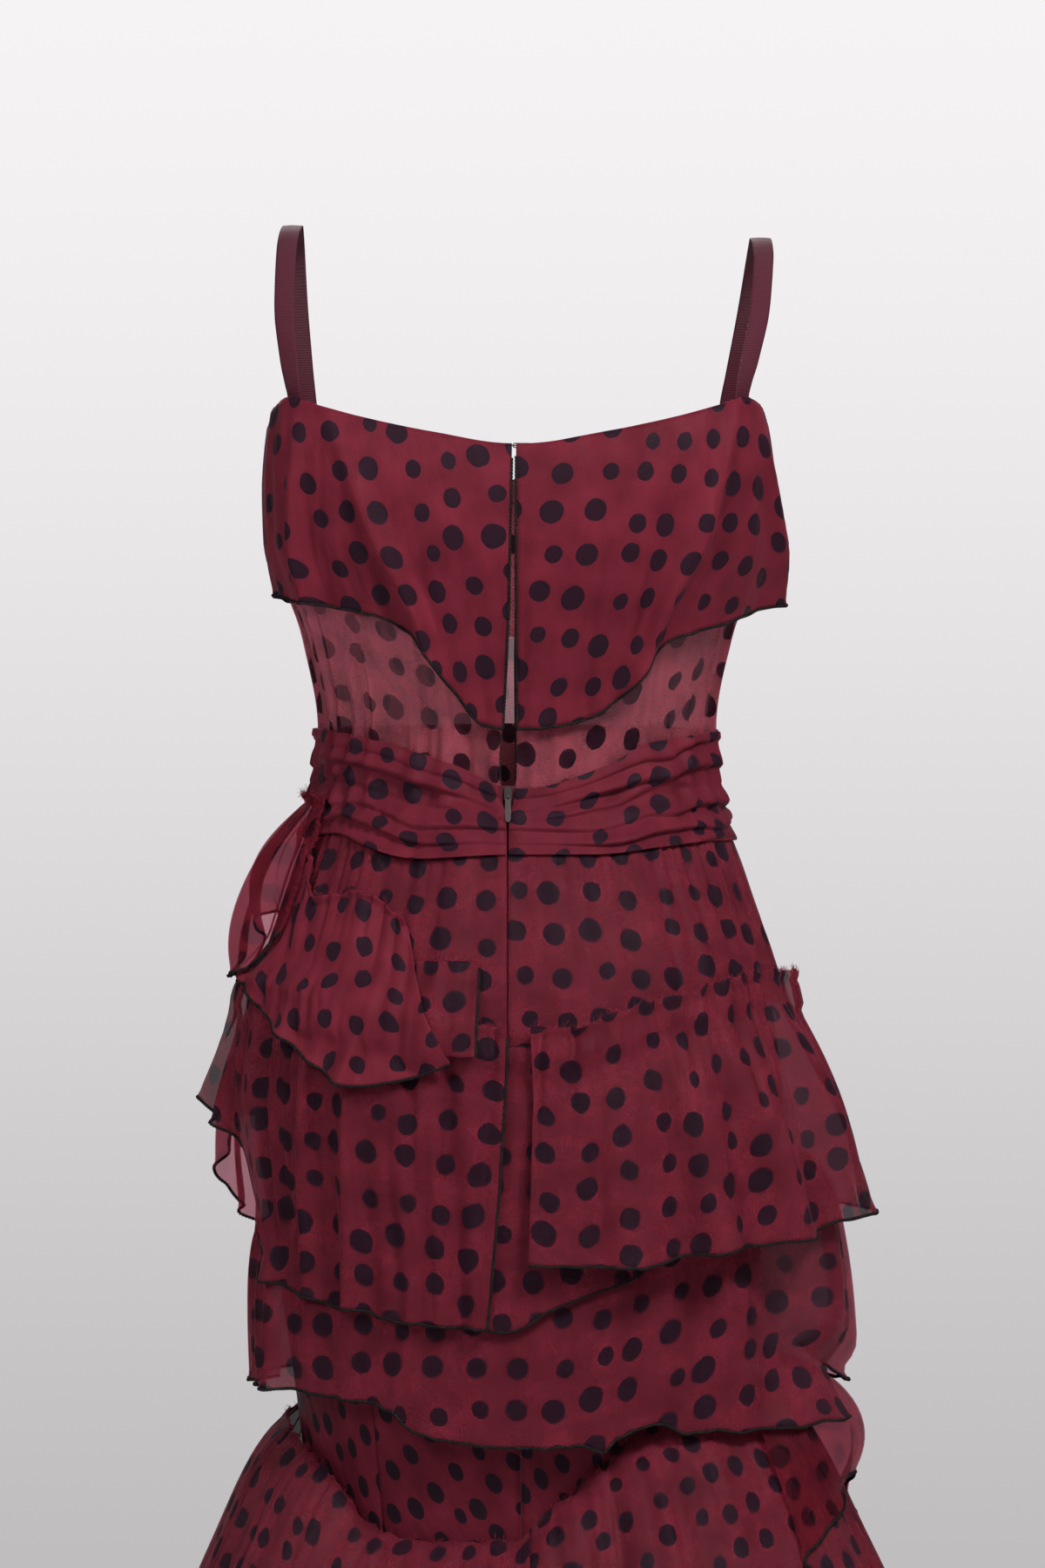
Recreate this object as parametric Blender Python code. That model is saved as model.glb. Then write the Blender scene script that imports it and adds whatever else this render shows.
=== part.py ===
# Tiered chiffon evening gown with straps, a neckline flounce, a pleated sash and gathered ruffles.
# Metres, +Z up. The gown's back looks along +Y and the wearer's left side is at +X.
# The origin lies between the shoulder straps, level with the top of the higher one.
# Angles run round the figure in degrees: 0 centre back, 90 the wearer's left, 180 centre front
# and 270 the wearer's right. Panels of the right back use the same angles less 360.
import math
from collections import namedtuple

import bmesh
import bpy
import numpy as np
from mathutils import Matrix, Vector
from mathutils.bvhtree import BVHTree

# Cloth and clearances
CHIFFON = 0.0012
PLEATED = 0.0016
GROSGRAIN = 0.0014
TAPE = 0.0008
SEAM_GAP = 0.0005
TAIL_GAP = 0.0008
LAYER_GAP = 0.0020
SETTLING_SHARE = 0.35
SEAM_ANGLE = 0.08
EDGE_REACH = 12.0
EDGE_SHARE = 0.35
FOLD_WANDER = 0.22
SMALLEST_FOLD = 0.6
LARGEST_FOLD = 1.25
FOLD_GROWTH = 0.8
PLEAT_START = 0.3
PLEAT_ANGLE = 25.0
MARGIN = 0.003
FAR = 0.5
NEAR = 0.02
SLANT = 0.45
SWEEPS = 5
PROBES = 4

# Heights that several pieces share
WAIST_SEAM = -0.3500
SKIRT_TOP = -0.3530
TIER2_TOP = -0.600
GOWN_HEM = -1.300
HEADER = 0.006
TURNING = 0.013

# Zip
ZIP_X = 0.006
SLIDER_TOP = -0.3405
SLIDER_WIDTH = 0.0044
SLIDER_HEIGHT = 0.0096
SLIDER_DEPTH = 0.0036
SLIDER_TAPER = [0.62, 1.0, 1.0, 1.0, 1.0, 0.86]
BRIDGE_RADIUS = 0.0017
BRIDGE_WIRE = 0.00045
PULL_DROP = 0.0175
PULL_WIDTH = 0.0042
PULL_THICKNESS = 0.0010
PULL_BAR = 0.0005
PULL_NECK = 0.72
PULL_ROUNDNESS = 0.45
SLOT_SQUARENESS = 1.6
PULL_SLOT_WIDTH = 0.0018
PULL_SLOT_DROP = 0.0030
PULL_CLEARANCE = 0.0006
PULL_MARGIN = 1.15
BRIDGE_STEPS = 10
PULL_STEPS = 24

# Hook and eye at the top of the back opening
WIRE = 0.00035
WIRE_SIDES = 8
HOOK_HEIGHT = -0.1385
HOOK_STEP = 0.00105
EYE_X = 0.0030
EYE_FOOT = -0.0065
EYE_RADIUS = 0.0012
EYE_STEPS = 8

# Shoulder straps
STRAP_WIDTH = 0.012
STRAP_SIDES = 2
STRAP_ROWS = 22
STRAP_FOOT = -0.10
TAIL_ROWS = 2
FADE_ROWS = 4

WINE = (0.205, 0.018, 0.036)
DEEP_WINE = (0.105, 0.012, 0.022)
RIBBON = (0.090, 0.014, 0.028)
STEEL = (0.55, 0.52, 0.50)

Section = namedtuple("Section", "height half_width half_depth centre_y boxy")
Level = namedtuple("Level", "angle height")
Line = namedtuple("Line", "levels offset")
Ease = namedtuple("Ease", "angle top hem")
Gap = namedtuple("Gap", "share x")
Fold = namedtuple("Fold", "top_angle hem_angle near_width far_width top_rise hem_rise")
Strap = namedtuple("Strap", "name side lean drop")
StrapPoint = namedtuple("StrapPoint", "share x y z yaw")
Panel = namedtuple(
    "Panel",
    "name start end top hem ease over folds step rows spread blouse pleats pleat_rise "
    "start_line end_line rest wall colour",
    defaults=((), (), 5.0, 5, 1.0, 0.0, 0, 0.0, None, None, LAYER_GAP, CHIFFON, WINE),
)
Sheet = namedtuple("Sheet", "points outward wall")

# Exponent that turns an angle into a share of the half width, the same at every height
WIDTH_POWER = 2 / 2.3

# A general figure that the gown was cut for, from the shoulder blades to the hem
FIGURE = [
    Section(-1.320, 0.121, 0.097, -0.002, 2.3),
    Section(-0.800, 0.121, 0.097, -0.002, 2.3),
    Section(-0.720, 0.129, 0.102, 0.000, 2.3),
    Section(-0.620, 0.1435, 0.110, 0.002, 2.3),
    Section(-0.530, 0.156, 0.113, 0.003, 2.3),
    Section(-0.460, 0.148, 0.105, 0.000, 2.3),
    Section(-0.390, 0.126, 0.091, -0.009, 2.3),
    Section(-0.345, 0.113, 0.083, -0.016, 2.3),
    Section(-0.305, 0.111, 0.085, -0.019, 2.5),
    Section(-0.250, 0.121, 0.100, -0.020, 2.9),
    Section(-0.190, 0.142, 0.112, -0.018, 3.6),
    Section(-0.125, 0.1455, 0.098, -0.006, 4.6),
    Section(-0.090, 0.1440, 0.092, -0.006, 4.6),
]


def mirrored(half):
    """Levels all the way round from those of one side, centre back to centre front."""
    return [Level(-row.angle, row.height) for row in half[:0:-1]] + half


# The top edge that the bodice and the neckline flounce share
NECKLINE = mirrored([
    Level(0, -0.1375),
    Level(16, -0.1310),
    Level(35, -0.1220),
    Level(50, -0.1145),
    Level(64, -0.1085),
    Level(72, -0.1120),
    Level(90, -0.1270),
    Level(104, -0.1230),
    Level(119, -0.1125),
    Level(140, -0.1300),
    Level(180, -0.1480),
])

FLOUNCE_HEM = [
    Level(-180, -0.2450),
    Level(-150, -0.2350),
    Level(-120, -0.2280),
    Level(-88, -0.2290),
    Level(-60.6, -0.2420),
    Level(-39, -0.2550),
    Level(-29.5, -0.2810),
    Level(-18, -0.2990),
    Level(-12, -0.3030),
    Level(0, -0.3060),
    Level(8, -0.3035),
    Level(16, -0.2810),
    Level(26, -0.2500),
    Level(39, -0.2366),
    Level(65, -0.2290),
    Level(90, -0.2220),
    Level(120, -0.2250),
    Level(150, -0.2350),
    Level(180, -0.2450),
]

SASH_TOP = [
    Level(-180, -0.3000),
    Level(-80, -0.3058),
    Level(-40, -0.3130),
    Level(-22.7, -0.3276),
    Level(0, -0.3406),
    Level(16, -0.3266),
    Level(40, -0.3130),
    Level(65, -0.3060),
    Level(90, -0.3040),
    Level(180, -0.3000),
]

SASH_HEM = [
    Level(-180, -0.3720),
    Level(-60, -0.3720),
    Level(-38, -0.3754),
    Level(-17, -0.3796),
    Level(0, -0.3796),
    Level(24, -0.3820),
    Level(42, -0.3744),
    Level(56, -0.3676),
    Level(80, -0.3700),
    Level(180, -0.3720),
]

# Where the first tier is sewn to the overskirt
TIER1_SEAM = [
    Level(-180, -0.4600),
    Level(-90, -0.4570),
    Level(-60, -0.4550),
    Level(-40, -0.4630),
    Level(-22, -0.4740),
    Level(-8, -0.4860),
    Level(0, -0.4870),
    Level(15, -0.4800),
    Level(40, -0.4680),
    Level(90, -0.4560),
    Level(180, -0.4600),
]

TIER1_LEFT_HEM = [
    Level(1, -0.6580),
    Level(13, -0.6550),
    Level(21, -0.6520),
    Level(36, -0.6460),
    Level(49, -0.6400),
    Level(60, -0.6340),
    Level(75, -0.6270),
    Level(92, -0.6200),
]

TIER1_CENTRE_HEM = [
    Level(-23, -0.6266),
    Level(-5.5, -0.6450),
    Level(1.5, -0.6580),
    Level(6, -0.6570),
]

TIER1_RIGHT_HEM = [
    Level(-98, -0.5950),
    Level(-86, -0.5930),
    Level(-75, -0.5935),
    Level(-61, -0.6000),
    Level(-54, -0.6050),
    Level(-37, -0.6110),
    Level(-19, -0.6188),
    Level(-2, -0.6190),
]

TIER1_FRONT_HEM = [
    Level(86, -0.6030),
    Level(92, -0.6010),
    Level(100, -0.5750),
    Level(108, -0.5400),
    Level(120, -0.5300),
    Level(150, -0.5500),
    Level(180, -0.5750),
    Level(230, -0.5900),
    Level(262, -0.5950),
]

TIER2_HEM = [
    Level(-86, -0.7110),
    Level(-54.4, -0.7176),
    Level(-37, -0.7186),
    Level(-29, -0.7140),
    Level(-20, -0.7200),
    Level(-16.3, -0.7280),
    Level(-12.6, -0.7254),
    Level(-3, -0.7270),
    Level(7.7, -0.7254),
    Level(20, -0.7176),
    Level(28, -0.7046),
    Level(34.7, -0.7010),
    Level(52, -0.6970),
    Level(86, -0.6970),
]

TIER3_TOP = [Level(198, -0.7000), Level(225, -0.6850), Level(279, -0.6800), Level(307, -0.6880)]
TIER3_HEM = [
    Level(198, -0.8300),
    Level(225, -0.8150),
    Level(250, -0.7950),
    Level(264, -0.7680),
    Level(274, -0.7520),
    Level(284, -0.7540),
    Level(295, -0.7740),
    Level(307, -0.7980),
]

# Where the lower flounce is sewn to the fitted sheath
LOWER_SEAM = [
    Level(-180, -0.7000),
    Level(-90, -0.7000),
    Level(-60, -0.7020),
    Level(-26.8, -0.7280),
    Level(-17.2, -0.7490),
    Level(-5.5, -0.7720),
    Level(0, -0.7880),
    Level(15.6, -0.7900),
    Level(38, -0.7830),
    Level(52.6, -0.7540),
    Level(85, -0.7280),
    Level(120, -0.7200),
    Level(180, -0.7000),
]

DRAPE_TOP = [
    Level(9, -0.4320),
    Level(17, -0.4210),
    Level(29, -0.4160),
    Level(45, -0.4000),
    Level(59, -0.3780),
    Level(72, -0.3640),
]
DRAPE_HEM = [
    Level(9, -0.4990),
    Level(20, -0.5106),
    Level(31, -0.5150),
    Level(42, -0.5020),
    Level(52, -0.4860),
    Level(60, -0.4730),
    Level(72, -0.4550),
]

STRAPS = [Strap("strap_left", 1, 0.0, 0.0), Strap("strap_right", -1, 0.0100, 0.0075)]

# The left strap's middle line from its back seam over the shoulder to its front seam
STRAP_LINE = [
    StrapPoint(0.00, 0.1320, 0.0700, -0.1180, 43),
    StrapPoint(0.05, 0.1330, 0.0700, -0.1090, 42),
    StrapPoint(0.16, 0.1365, 0.0660, -0.0850, 24),
    StrapPoint(0.32, 0.1395, 0.0530, -0.0500, 10),
    StrapPoint(0.44, 0.1390, 0.0330, -0.0180, 4),
    StrapPoint(0.50, 0.1375, 0.0120, -0.0040, 0),
    StrapPoint(0.54, 0.1365, -0.0040, 0.0000, 0),
    StrapPoint(0.60, 0.1365, -0.0240, -0.0060, -2),
    StrapPoint(0.70, 0.1360, -0.0530, -0.0320, -6),
    StrapPoint(0.84, 0.1330, -0.0760, -0.0760, -16),
    StrapPoint(0.95, 0.1285, -0.0870, -0.1185, -34),
    StrapPoint(1.00, 0.1280, -0.0880, -0.1285, -36),
]


def smooth(x, xs, ys):
    """A smooth curve through the points (xs, ys) that doesn't overshoot them."""
    xs, ys = np.asarray(xs, float), np.asarray(ys, float)
    x = np.clip(np.asarray(x, float), xs[0], xs[-1])
    secant = np.diff(ys) / np.diff(xs)
    product = secant[:-1] * secant[1:]
    inner = np.where(product > 0, 2 * product / (secant[:-1] + secant[1:] + 1e-30), 0.0)
    slope = np.concatenate([[secant[0]], inner, [secant[-1]]])
    i = np.clip(np.searchsorted(xs, x) - 1, 0, len(xs) - 2)
    span = xs[i + 1] - xs[i]
    t = (x - xs[i]) / span
    rise = ys[i] * (1 + 2 * t) * (1 - t) ** 2 + ys[i + 1] * t * t * (3 - 2 * t)
    return rise + span * t * (1 - t) * (slope[i] * (1 - t) - slope[i + 1] * t)


def column(rows, name, x, along):
    """The column name of a table, read smoothly where its column along is x."""
    return smooth(x, [getattr(row, along) for row in rows], [getattr(row, name) for row in rows])


def height_of(line, angle):
    """The height of a plain edge, of a list of levels, or of a line set off from one."""
    if isinstance(line, Line):
        return height_of(line.levels, angle) + line.offset
    if isinstance(line, list):
        if line[0].angle == -180:
            angle = np.mod(angle + 180, 360) - 180
        return column(line, "height", angle, "angle")
    return np.full(np.shape(angle), float(line))


def figure(name, height):
    return column(FIGURE, name, height, "height")


def ring(angle, height):
    """The figure's point at an angle and a height, and the outward direction there."""
    a, b = figure("half_width", height), figure("half_depth", height)
    power = figure("boxy", height)
    sine, cosine = np.sin(np.radians(angle)), np.cos(np.radians(angle))
    across = np.abs(sine) ** WIDTH_POWER
    along = np.maximum(1 - across**power, 0) ** (1 / power)
    nx, ny = np.sign(sine) * across ** (power - 1) / a, np.sign(cosine) * along ** (power - 1) / b
    size = np.hypot(nx, ny)
    x, y = np.sign(sine) * a * across, figure("centre_y", height) + np.sign(cosine) * b * along
    return np.stack([x, y, height], -1), np.stack([nx / size, ny / size, 0 * height], -1)


def turn(x, height):
    """The angle at which the figure's back is x to the left of its middle."""
    share = np.minimum(np.abs(x) / figure("half_width", height), 1)
    return np.degrees(np.arcsin(share ** (1 / WIDTH_POWER))) * np.sign(x)


def rise_of(fold, angle, v):
    """How far one fold stands out, at angles and at shares v of the way from seam to hem."""
    crest = fold.top_angle + (fold.hem_angle - fold.top_angle) * v
    away = np.mod(angle - crest + 180, 360) - 180
    width = np.where(away < 0, fold.near_width, fold.far_width)
    shape = np.cos(np.clip(away / width, -1, 1) * math.pi / 2) ** 2
    return shape * (fold.top_rise + (fold.hem_rise - fold.top_rise) * v**FOLD_GROWTH)


def even_folds(start, end, count, top_rise, hem_rise, seed, fill=0.62):
    """Folds spaced and sized a little unevenly, for cloth that gathers alike all along."""
    chance = np.random.default_rng(seed)
    step = (end - start) / count
    folds = []
    for k in range(count):
        crest = start + step * (k + 0.5 + chance.uniform(-FOLD_WANDER, FOLD_WANDER))
        drift = step * chance.uniform(-FOLD_WANDER, FOLD_WANDER)
        near = step * fill * chance.uniform(1 - FOLD_WANDER, 1 + FOLD_WANDER)
        far = step * fill * chance.uniform(1 - FOLD_WANDER, 1 + FOLD_WANDER)
        hem = hem_rise * chance.uniform(SMALLEST_FOLD, LARGEST_FOLD)
        folds.append(Fold(crest, crest + drift, near, far, top_rise, hem))
    return folds


def columns(panel):
    """The panel's column angles, on whole steps between its two edges."""
    first = math.ceil(panel.start / panel.step + EDGE_SHARE)
    last = math.floor(panel.end / panel.step - EDGE_SHARE)
    inner = [k * panel.step for k in range(first, last + 1)]
    return np.array([panel.start] + inner + [panel.end])


def lay_out(panel):
    """The panel's angles, heights, shares and ease before it settles on what is beneath."""
    base = columns(panel)[:, None]
    shares = panel.rows if isinstance(panel.rows, list) else np.linspace(0, 1, panel.rows + 1)
    v = np.array(shares)[None, :]
    angle = base + 0 * v
    reach = min(EDGE_REACH, panel.end - panel.start)
    for line, edge, side in ((panel.start_line, 0, 1), (panel.end_line, -1, -1)):
        if line:
            x = np.interp(v[0], [gap.share for gap in line], [gap.x for gap in line])
            top, hem = height_of(panel.top, base[edge]), height_of(panel.hem, base[edge])
            goal = turn(x, top + (hem - top) * v[0]) - base[edge]
            weight = np.clip(1 - side * (base - base[edge]) / reach, 0, 1)
            angle = angle + weight * goal[None, :]
    top, hem = height_of(panel.top, angle), height_of(panel.hem, angle)
    height = top + (hem - top) * v
    ease_top = column(panel.ease, "top", angle, "angle")
    ease_hem = column(panel.ease, "hem", angle, "angle")
    ease = ease_top + (ease_hem - ease_top) * v**panel.spread + panel.blouse * 4 * v * (1 - v)
    for fold in panel.folds:
        ease = ease + rise_of(fold, angle, v)
    if panel.pleats:
        gathered = PLEAT_START + (1 - PLEAT_START) * np.clip(np.abs(angle) / PLEAT_ANGLE, 0, 1)
        ease = ease + panel.pleat_rise * gathered * np.sin(math.pi * panel.pleats * v) ** 2
    return angle, height, ease, v + 0 * angle


def widened(points):
    """The sheet's points with a margin added along each of its four edges."""
    for axis in (0, 1):
        points = np.swapaxes(points, 0, axis)
        ends = []
        for edge, inner in ((points[0], points[1]), (points[-1], points[-2])):
            away = edge - inner
            ends.append(edge + away / np.linalg.norm(away, axis=-1, keepdims=True) * MARGIN)
        points = np.concatenate([ends[0][None], points, ends[1][None]])
        points = np.swapaxes(points, 0, axis)
    return points


def facets(across, down):
    """The triangles between a grid's points, two for each of its cells."""
    cells = [(i * down + j, (i + 1) * down + j) for i in range(across - 1) for j in range(down - 1)]
    return [(a, a + 1, b + 1) for a, b in cells] + [(a, b + 1, b) for a, b in cells]


def tree_of(points):
    corners = [Vector(p) for p in points.reshape(-1, 3)]
    return BVHTree.FromPolygons(corners, facets(*points.shape[:2]))


def shortfalls(points, outward, beneath, room):
    """How far each vertex must move out so that its faces clear the sheets beneath."""
    flat, ways, rooms = points.reshape(-1, 3), outward.reshape(-1, 3), room.reshape(-1)
    lift = np.zeros(len(flat))
    n = PROBES
    probes = [(i / n, j / n, 1 - (i + j) / n) for i in range(n + 1) for j in range(n + 1 - i)]
    corners = facets(*points.shape[:2])
    for corner in corners:
        ids = list(corner)
        worst = 0.0
        for share in probes:
            point, need = share @ flat[ids], share @ rooms[ids]
            way = Vector(share @ ways[ids]).normalized()
            for sheet, tree in beneath:
                hit, normal, _, distance = tree.ray_cast(Vector(point) + way * FAR, -way, FAR + NEAR)
                if hit is not None:
                    slant = max(abs(normal.dot(way)), SLANT)
                    worst = max(worst, FAR - distance + (need + sheet.wall / 2) / slant)
        lift[ids] = np.maximum(lift[ids], worst)
    upper = tree_of(points)
    for sheet, _ in beneath:
        for point, way in zip(sheet.points.reshape(-1, 3), sheet.outward.reshape(-1, 3)):
            start = Vector(point) - Vector(way) * NEAR
            hit, normal, index, distance = upper.ray_cast(start, Vector(way), 2 * NEAR)
            if hit is not None:
                ids = list(corners[index])
                slant = max(abs(normal.dot(Vector(way))), SLANT)
                short = NEAR - distance + (min(rooms[ids]) + sheet.wall / 2) / slant
                lift[ids] = np.maximum(lift[ids], short)
    return lift.reshape(points.shape[:2])


def settled(panel, angle, height, ease, v, under):
    """The panel's sheet, moved out wherever it would meet the sheets beneath it."""
    beneath = [(sheet, tree_of(widened(sheet.points))) for sheet in under]
    gap = SEAM_GAP + (panel.rest - SEAM_GAP) * np.clip(v / SETTLING_SHARE, 0, 1)
    for _ in range(SWEEPS if beneath else 0):
        foot, outward = ring(angle, height)
        points = foot + outward * ease[..., None]
        ease = ease + shortfalls(points, outward, beneath, gap + panel.wall / 2)
    foot, outward = ring(angle, height)
    return Sheet(foot + outward * ease[..., None], outward, panel.wall)


def material(name, colour, roughness, metallic=0.0):
    cloth = bpy.data.materials.new(name)
    cloth.use_nodes = True
    shader = cloth.node_tree.nodes["Principled BSDF"]
    shader.inputs["Base Color"].default_value = (*colour, 1)
    shader.inputs["Roughness"].default_value = roughness
    shader.inputs["Metallic"].default_value = metallic
    return cloth


def add_object(name, mesh, finish):
    """A named object from a bmesh, with outward faces and its own material."""
    bmesh.ops.recalc_face_normals(mesh, faces=mesh.faces)
    data = bpy.data.meshes.new(name)
    mesh.to_mesh(data)
    mesh.free()
    body = bpy.data.objects.new(name, data)
    bpy.context.scene.collection.objects.link(body)
    data.materials.append(finish)
    return body


def add_sheet(name, points, wall, finish):
    """A sheet of cloth through a grid of points, thickened evenly to both sides."""
    mesh = bmesh.new()
    corners = [mesh.verts.new(p) for p in points.reshape(-1, 3)]
    for facet in facets(*points.shape[:2]):
        mesh.faces.new([corners[k] for k in facet]).smooth = True
    data = bpy.data.meshes.new(name)
    mesh.to_mesh(data)
    mesh.free()
    body = bpy.data.objects.new(name, data)
    bpy.context.scene.collection.objects.link(body)
    data.materials.append(finish)
    thicken = body.modifiers.new("Wall", "SOLIDIFY")
    thicken.thickness = wall
    thicken.offset = 0
    thicken.use_quality_normals = True


def seat_tail(points, rows, way, sheet):
    """Lay the strap's tail, its given rows from the end inwards, on the inside of a sheet."""
    tree = tree_of(widened(sheet.points))
    room = sheet.wall / 2 + TAIL_GAP + GROSGRAIN / 2
    for line in points:
        for step, row in enumerate(rows):
            if step < TAIL_ROWS:
                start = Vector(line[row]) - Vector(way) * NEAR
                _, normal, _, distance = tree.ray_cast(start, Vector(way), 4 * NEAR)
                shift = distance - NEAR - room / abs(normal.dot(Vector(way)))
            fade = 1 - max(step - TAIL_ROWS + 1, 0) / (len(rows) - TAIL_ROWS + 1)
            line[row] += np.array(way) * shift * fade


def strap_points(strap, back, front):
    """The strap's grid of points along its middle line, its tails inside the bodice."""
    share = np.concatenate([[0], np.linspace(0.05, 0.95, STRAP_ROWS - 1), [1]])
    x, y, z, yaw = (column(STRAP_LINE, name, share, "share") for name in ("x", "y", "z", "yaw"))
    raised = np.clip(1 - z / STRAP_FOOT, 0, 1)
    x = x + strap.lean * raised
    z = z - strap.drop * raised**2
    across = np.stack([np.cos(np.radians(yaw)), -np.sin(np.radians(yaw)), 0 * yaw], -1)
    middle = np.stack([x, y, z], -1)
    offsets = np.linspace(-0.5, 0.5, STRAP_SIDES + 1) * STRAP_WIDTH
    points = middle[None] + across[None] * offsets[:, None, None]
    points[..., 0] *= strap.side
    back_way = strap.side * math.sin(math.radians(yaw[0])), math.cos(math.radians(yaw[0])), 0
    front_way = -strap.side * math.sin(math.radians(yaw[-1])), -math.cos(math.radians(yaw[-1])), 0
    seat_tail(points, range(TAIL_ROWS + FADE_ROWS), back_way, back)
    seat_tail(points, range(-1, -TAIL_ROWS - FADE_ROWS - 1, -1), front_way, front)
    return points


def add_wire(name, path, radius, finish):
    """A round wire along a path of points."""
    path = [Vector(p) for p in path]
    mesh = bmesh.new()
    rings = []
    side = Vector((0, 0, 1))
    for k, point in enumerate(path):
        ahead = (path[min(k + 1, len(path) - 1)] - path[max(k - 1, 0)]).normalized()
        side = (side - ahead * side.dot(ahead)).normalized()
        other = ahead.cross(side)
        rings.append([
            mesh.verts.new(point + (side * math.cos(a) + other * math.sin(a)) * radius)
            for a in (math.tau * n / WIRE_SIDES for n in range(WIRE_SIDES))
        ])
    for one, two in zip(rings, rings[1:]):
        for n in range(WIRE_SIDES):
            m = (n + 1) % WIRE_SIDES
            mesh.faces.new((one[n], one[m], two[m], two[n]))
    mesh.faces.new(rings[0])
    mesh.faces.new(rings[-1][::-1])
    return add_object(name, mesh, finish)


def add_slider(finish):
    """The zip's slider, a plate with a bridge that the pull hangs from."""
    mesh = bmesh.new()
    half = SLIDER_WIDTH / 2
    xs = [-half, -BRIDGE_WIRE, BRIDGE_WIRE, half]
    inner, outer = BRIDGE_RADIUS - BRIDGE_WIRE, BRIDGE_RADIUS + BRIDGE_WIRE
    zs = [-SLIDER_HEIGHT / 2, -outer, -inner, inner, outer, SLIDER_HEIGHT / 2]
    front, back = {}, {}
    for i, x in enumerate(xs):
        for j, z in enumerate(zs):
            width = SLIDER_TAPER[j] if i in (0, 3) else 1.0
            front[i, j] = mesh.verts.new((x * width, SLIDER_DEPTH, z))
            back[i, j] = mesh.verts.new((x * width, 0, z))
    for i in range(3):
        for j in range(5):
            mesh.faces.new((back[i, j], back[i, j + 1], back[i + 1, j + 1], back[i + 1, j]))
            if not (i == 1 and j in (1, 3)):
                mesh.faces.new((front[i, j], front[i + 1, j], front[i + 1, j + 1], front[i, j + 1]))
        for j in (0, 5):
            mesh.faces.new((front[i, j], front[i + 1, j], back[i + 1, j], back[i, j]))
    for j in range(5):
        for i in (0, 3):
            mesh.faces.new((front[i, j], front[i, j + 1], back[i, j + 1], back[i, j]))
    axis_depth = SLIDER_DEPTH + PULL_CLEARANCE + PULL_THICKNESS / 2
    loops = [[front[1, 1], front[2, 1], front[2, 2], front[1, 2]]]
    for k in range(BRIDGE_STEPS + 1):
        bend = math.pi * k / BRIDGE_STEPS
        loop = []
        for x, radius in ((-1, outer), (1, outer), (1, inner), (-1, inner)):
            y = axis_depth + radius * math.sin(bend)
            loop.append(mesh.verts.new((x * BRIDGE_WIRE, y, -radius * math.cos(bend))))
        loops.append(loop)
    loops.append([front[1, 4], front[2, 4], front[2, 3], front[1, 3]])
    for one, two in zip(loops, loops[1:]):
        for n in range(4):
            mesh.faces.new((one[n], one[(n + 1) % 4], two[(n + 1) % 4], two[n]))
    return add_object("zip_slider", mesh, finish)


def add_pull(finish):
    """The zip's pull, a drop-shaped plate with a slot, its origin on its hinge line."""
    mesh = bmesh.new()
    loops = {}
    for side in (-1, 1):
        outer, slot = [], []
        for k in range(PULL_STEPS):
            bend = math.tau * k / PULL_STEPS
            down = 0.5 - 0.5 * math.cos(bend)
            width = math.copysign(abs(math.sin(bend)) ** PULL_ROUNDNESS, math.sin(bend))
            width *= PULL_WIDTH / 2 * (PULL_NECK + (1 - PULL_NECK) * down)
            z = PULL_BAR - (PULL_DROP + PULL_BAR) * down
            outer.append(mesh.verts.new((width, side * PULL_THICKNESS / 2, z)))
            slot_z = -PULL_BAR - (PULL_SLOT_DROP - PULL_BAR) * down
            slot_x = PULL_SLOT_WIDTH / 2 * max(-1, min(1, SLOT_SQUARENESS * math.sin(bend)))
            slot.append(mesh.verts.new((slot_x, side * PULL_THICKNESS / 2, slot_z)))
        loops[side] = (outer, slot)
    for k in range(PULL_STEPS):
        n = (k + 1) % PULL_STEPS
        for side in (-1, 1):
            outer, slot = loops[side]
            mesh.faces.new((outer[k], outer[n], slot[n], slot[k]))
        for part in (0, 1):
            one, two = loops[-1][part], loops[1][part]
            mesh.faces.new((one[k], one[n], two[n], two[k]))
    return add_object("zip_pull", mesh, finish)


# What each seam leaves between two panels that meet edge to edge
def seam(angle, side):
    return angle + side * SEAM_ANGLE


SHEATH_EASE = [Ease(-180, 0.003, 0.003), Ease(180, 0.003, 0.003), Ease(360, 0.003, 0.003)]
SHEATH_HEM = Line(LOWER_SEAM, -0.015)
SHEATH_ROWS = [0, 0.09, 0.20, 0.36, 0.57, 0.78, 1]
SHEATH = ("sheath_back_left", "sheath_side_left", "sheath_front", "sheath_side_right",
          "sheath_back_right")
LOWER = ("lower_flounce_left", "lower_flounce_front", "lower_flounce_right")
OVERSKIRT = ("overskirt_back_left", "overskirt_front", "overskirt_back_right")
BODICE = ("bodice_back_left", "bodice_front", "bodice_back_right")
SASH = ("sash_back_left", "sash_front", "sash_back_right")
TIER1 = ("tier1_centre", "tier1_left", "tier1_right")

FLOUNCE_EASE = [
    Ease(-98, 0.0, 0.235),
    Ease(-60, 0.0, 0.230),
    Ease(0, 0.0, 0.165),
    Ease(60, 0.0, 0.175),
    Ease(100, 0.0, 0.180),
    Ease(180, 0.0, 0.170),
    Ease(262, 0.0, 0.235),
]

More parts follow.
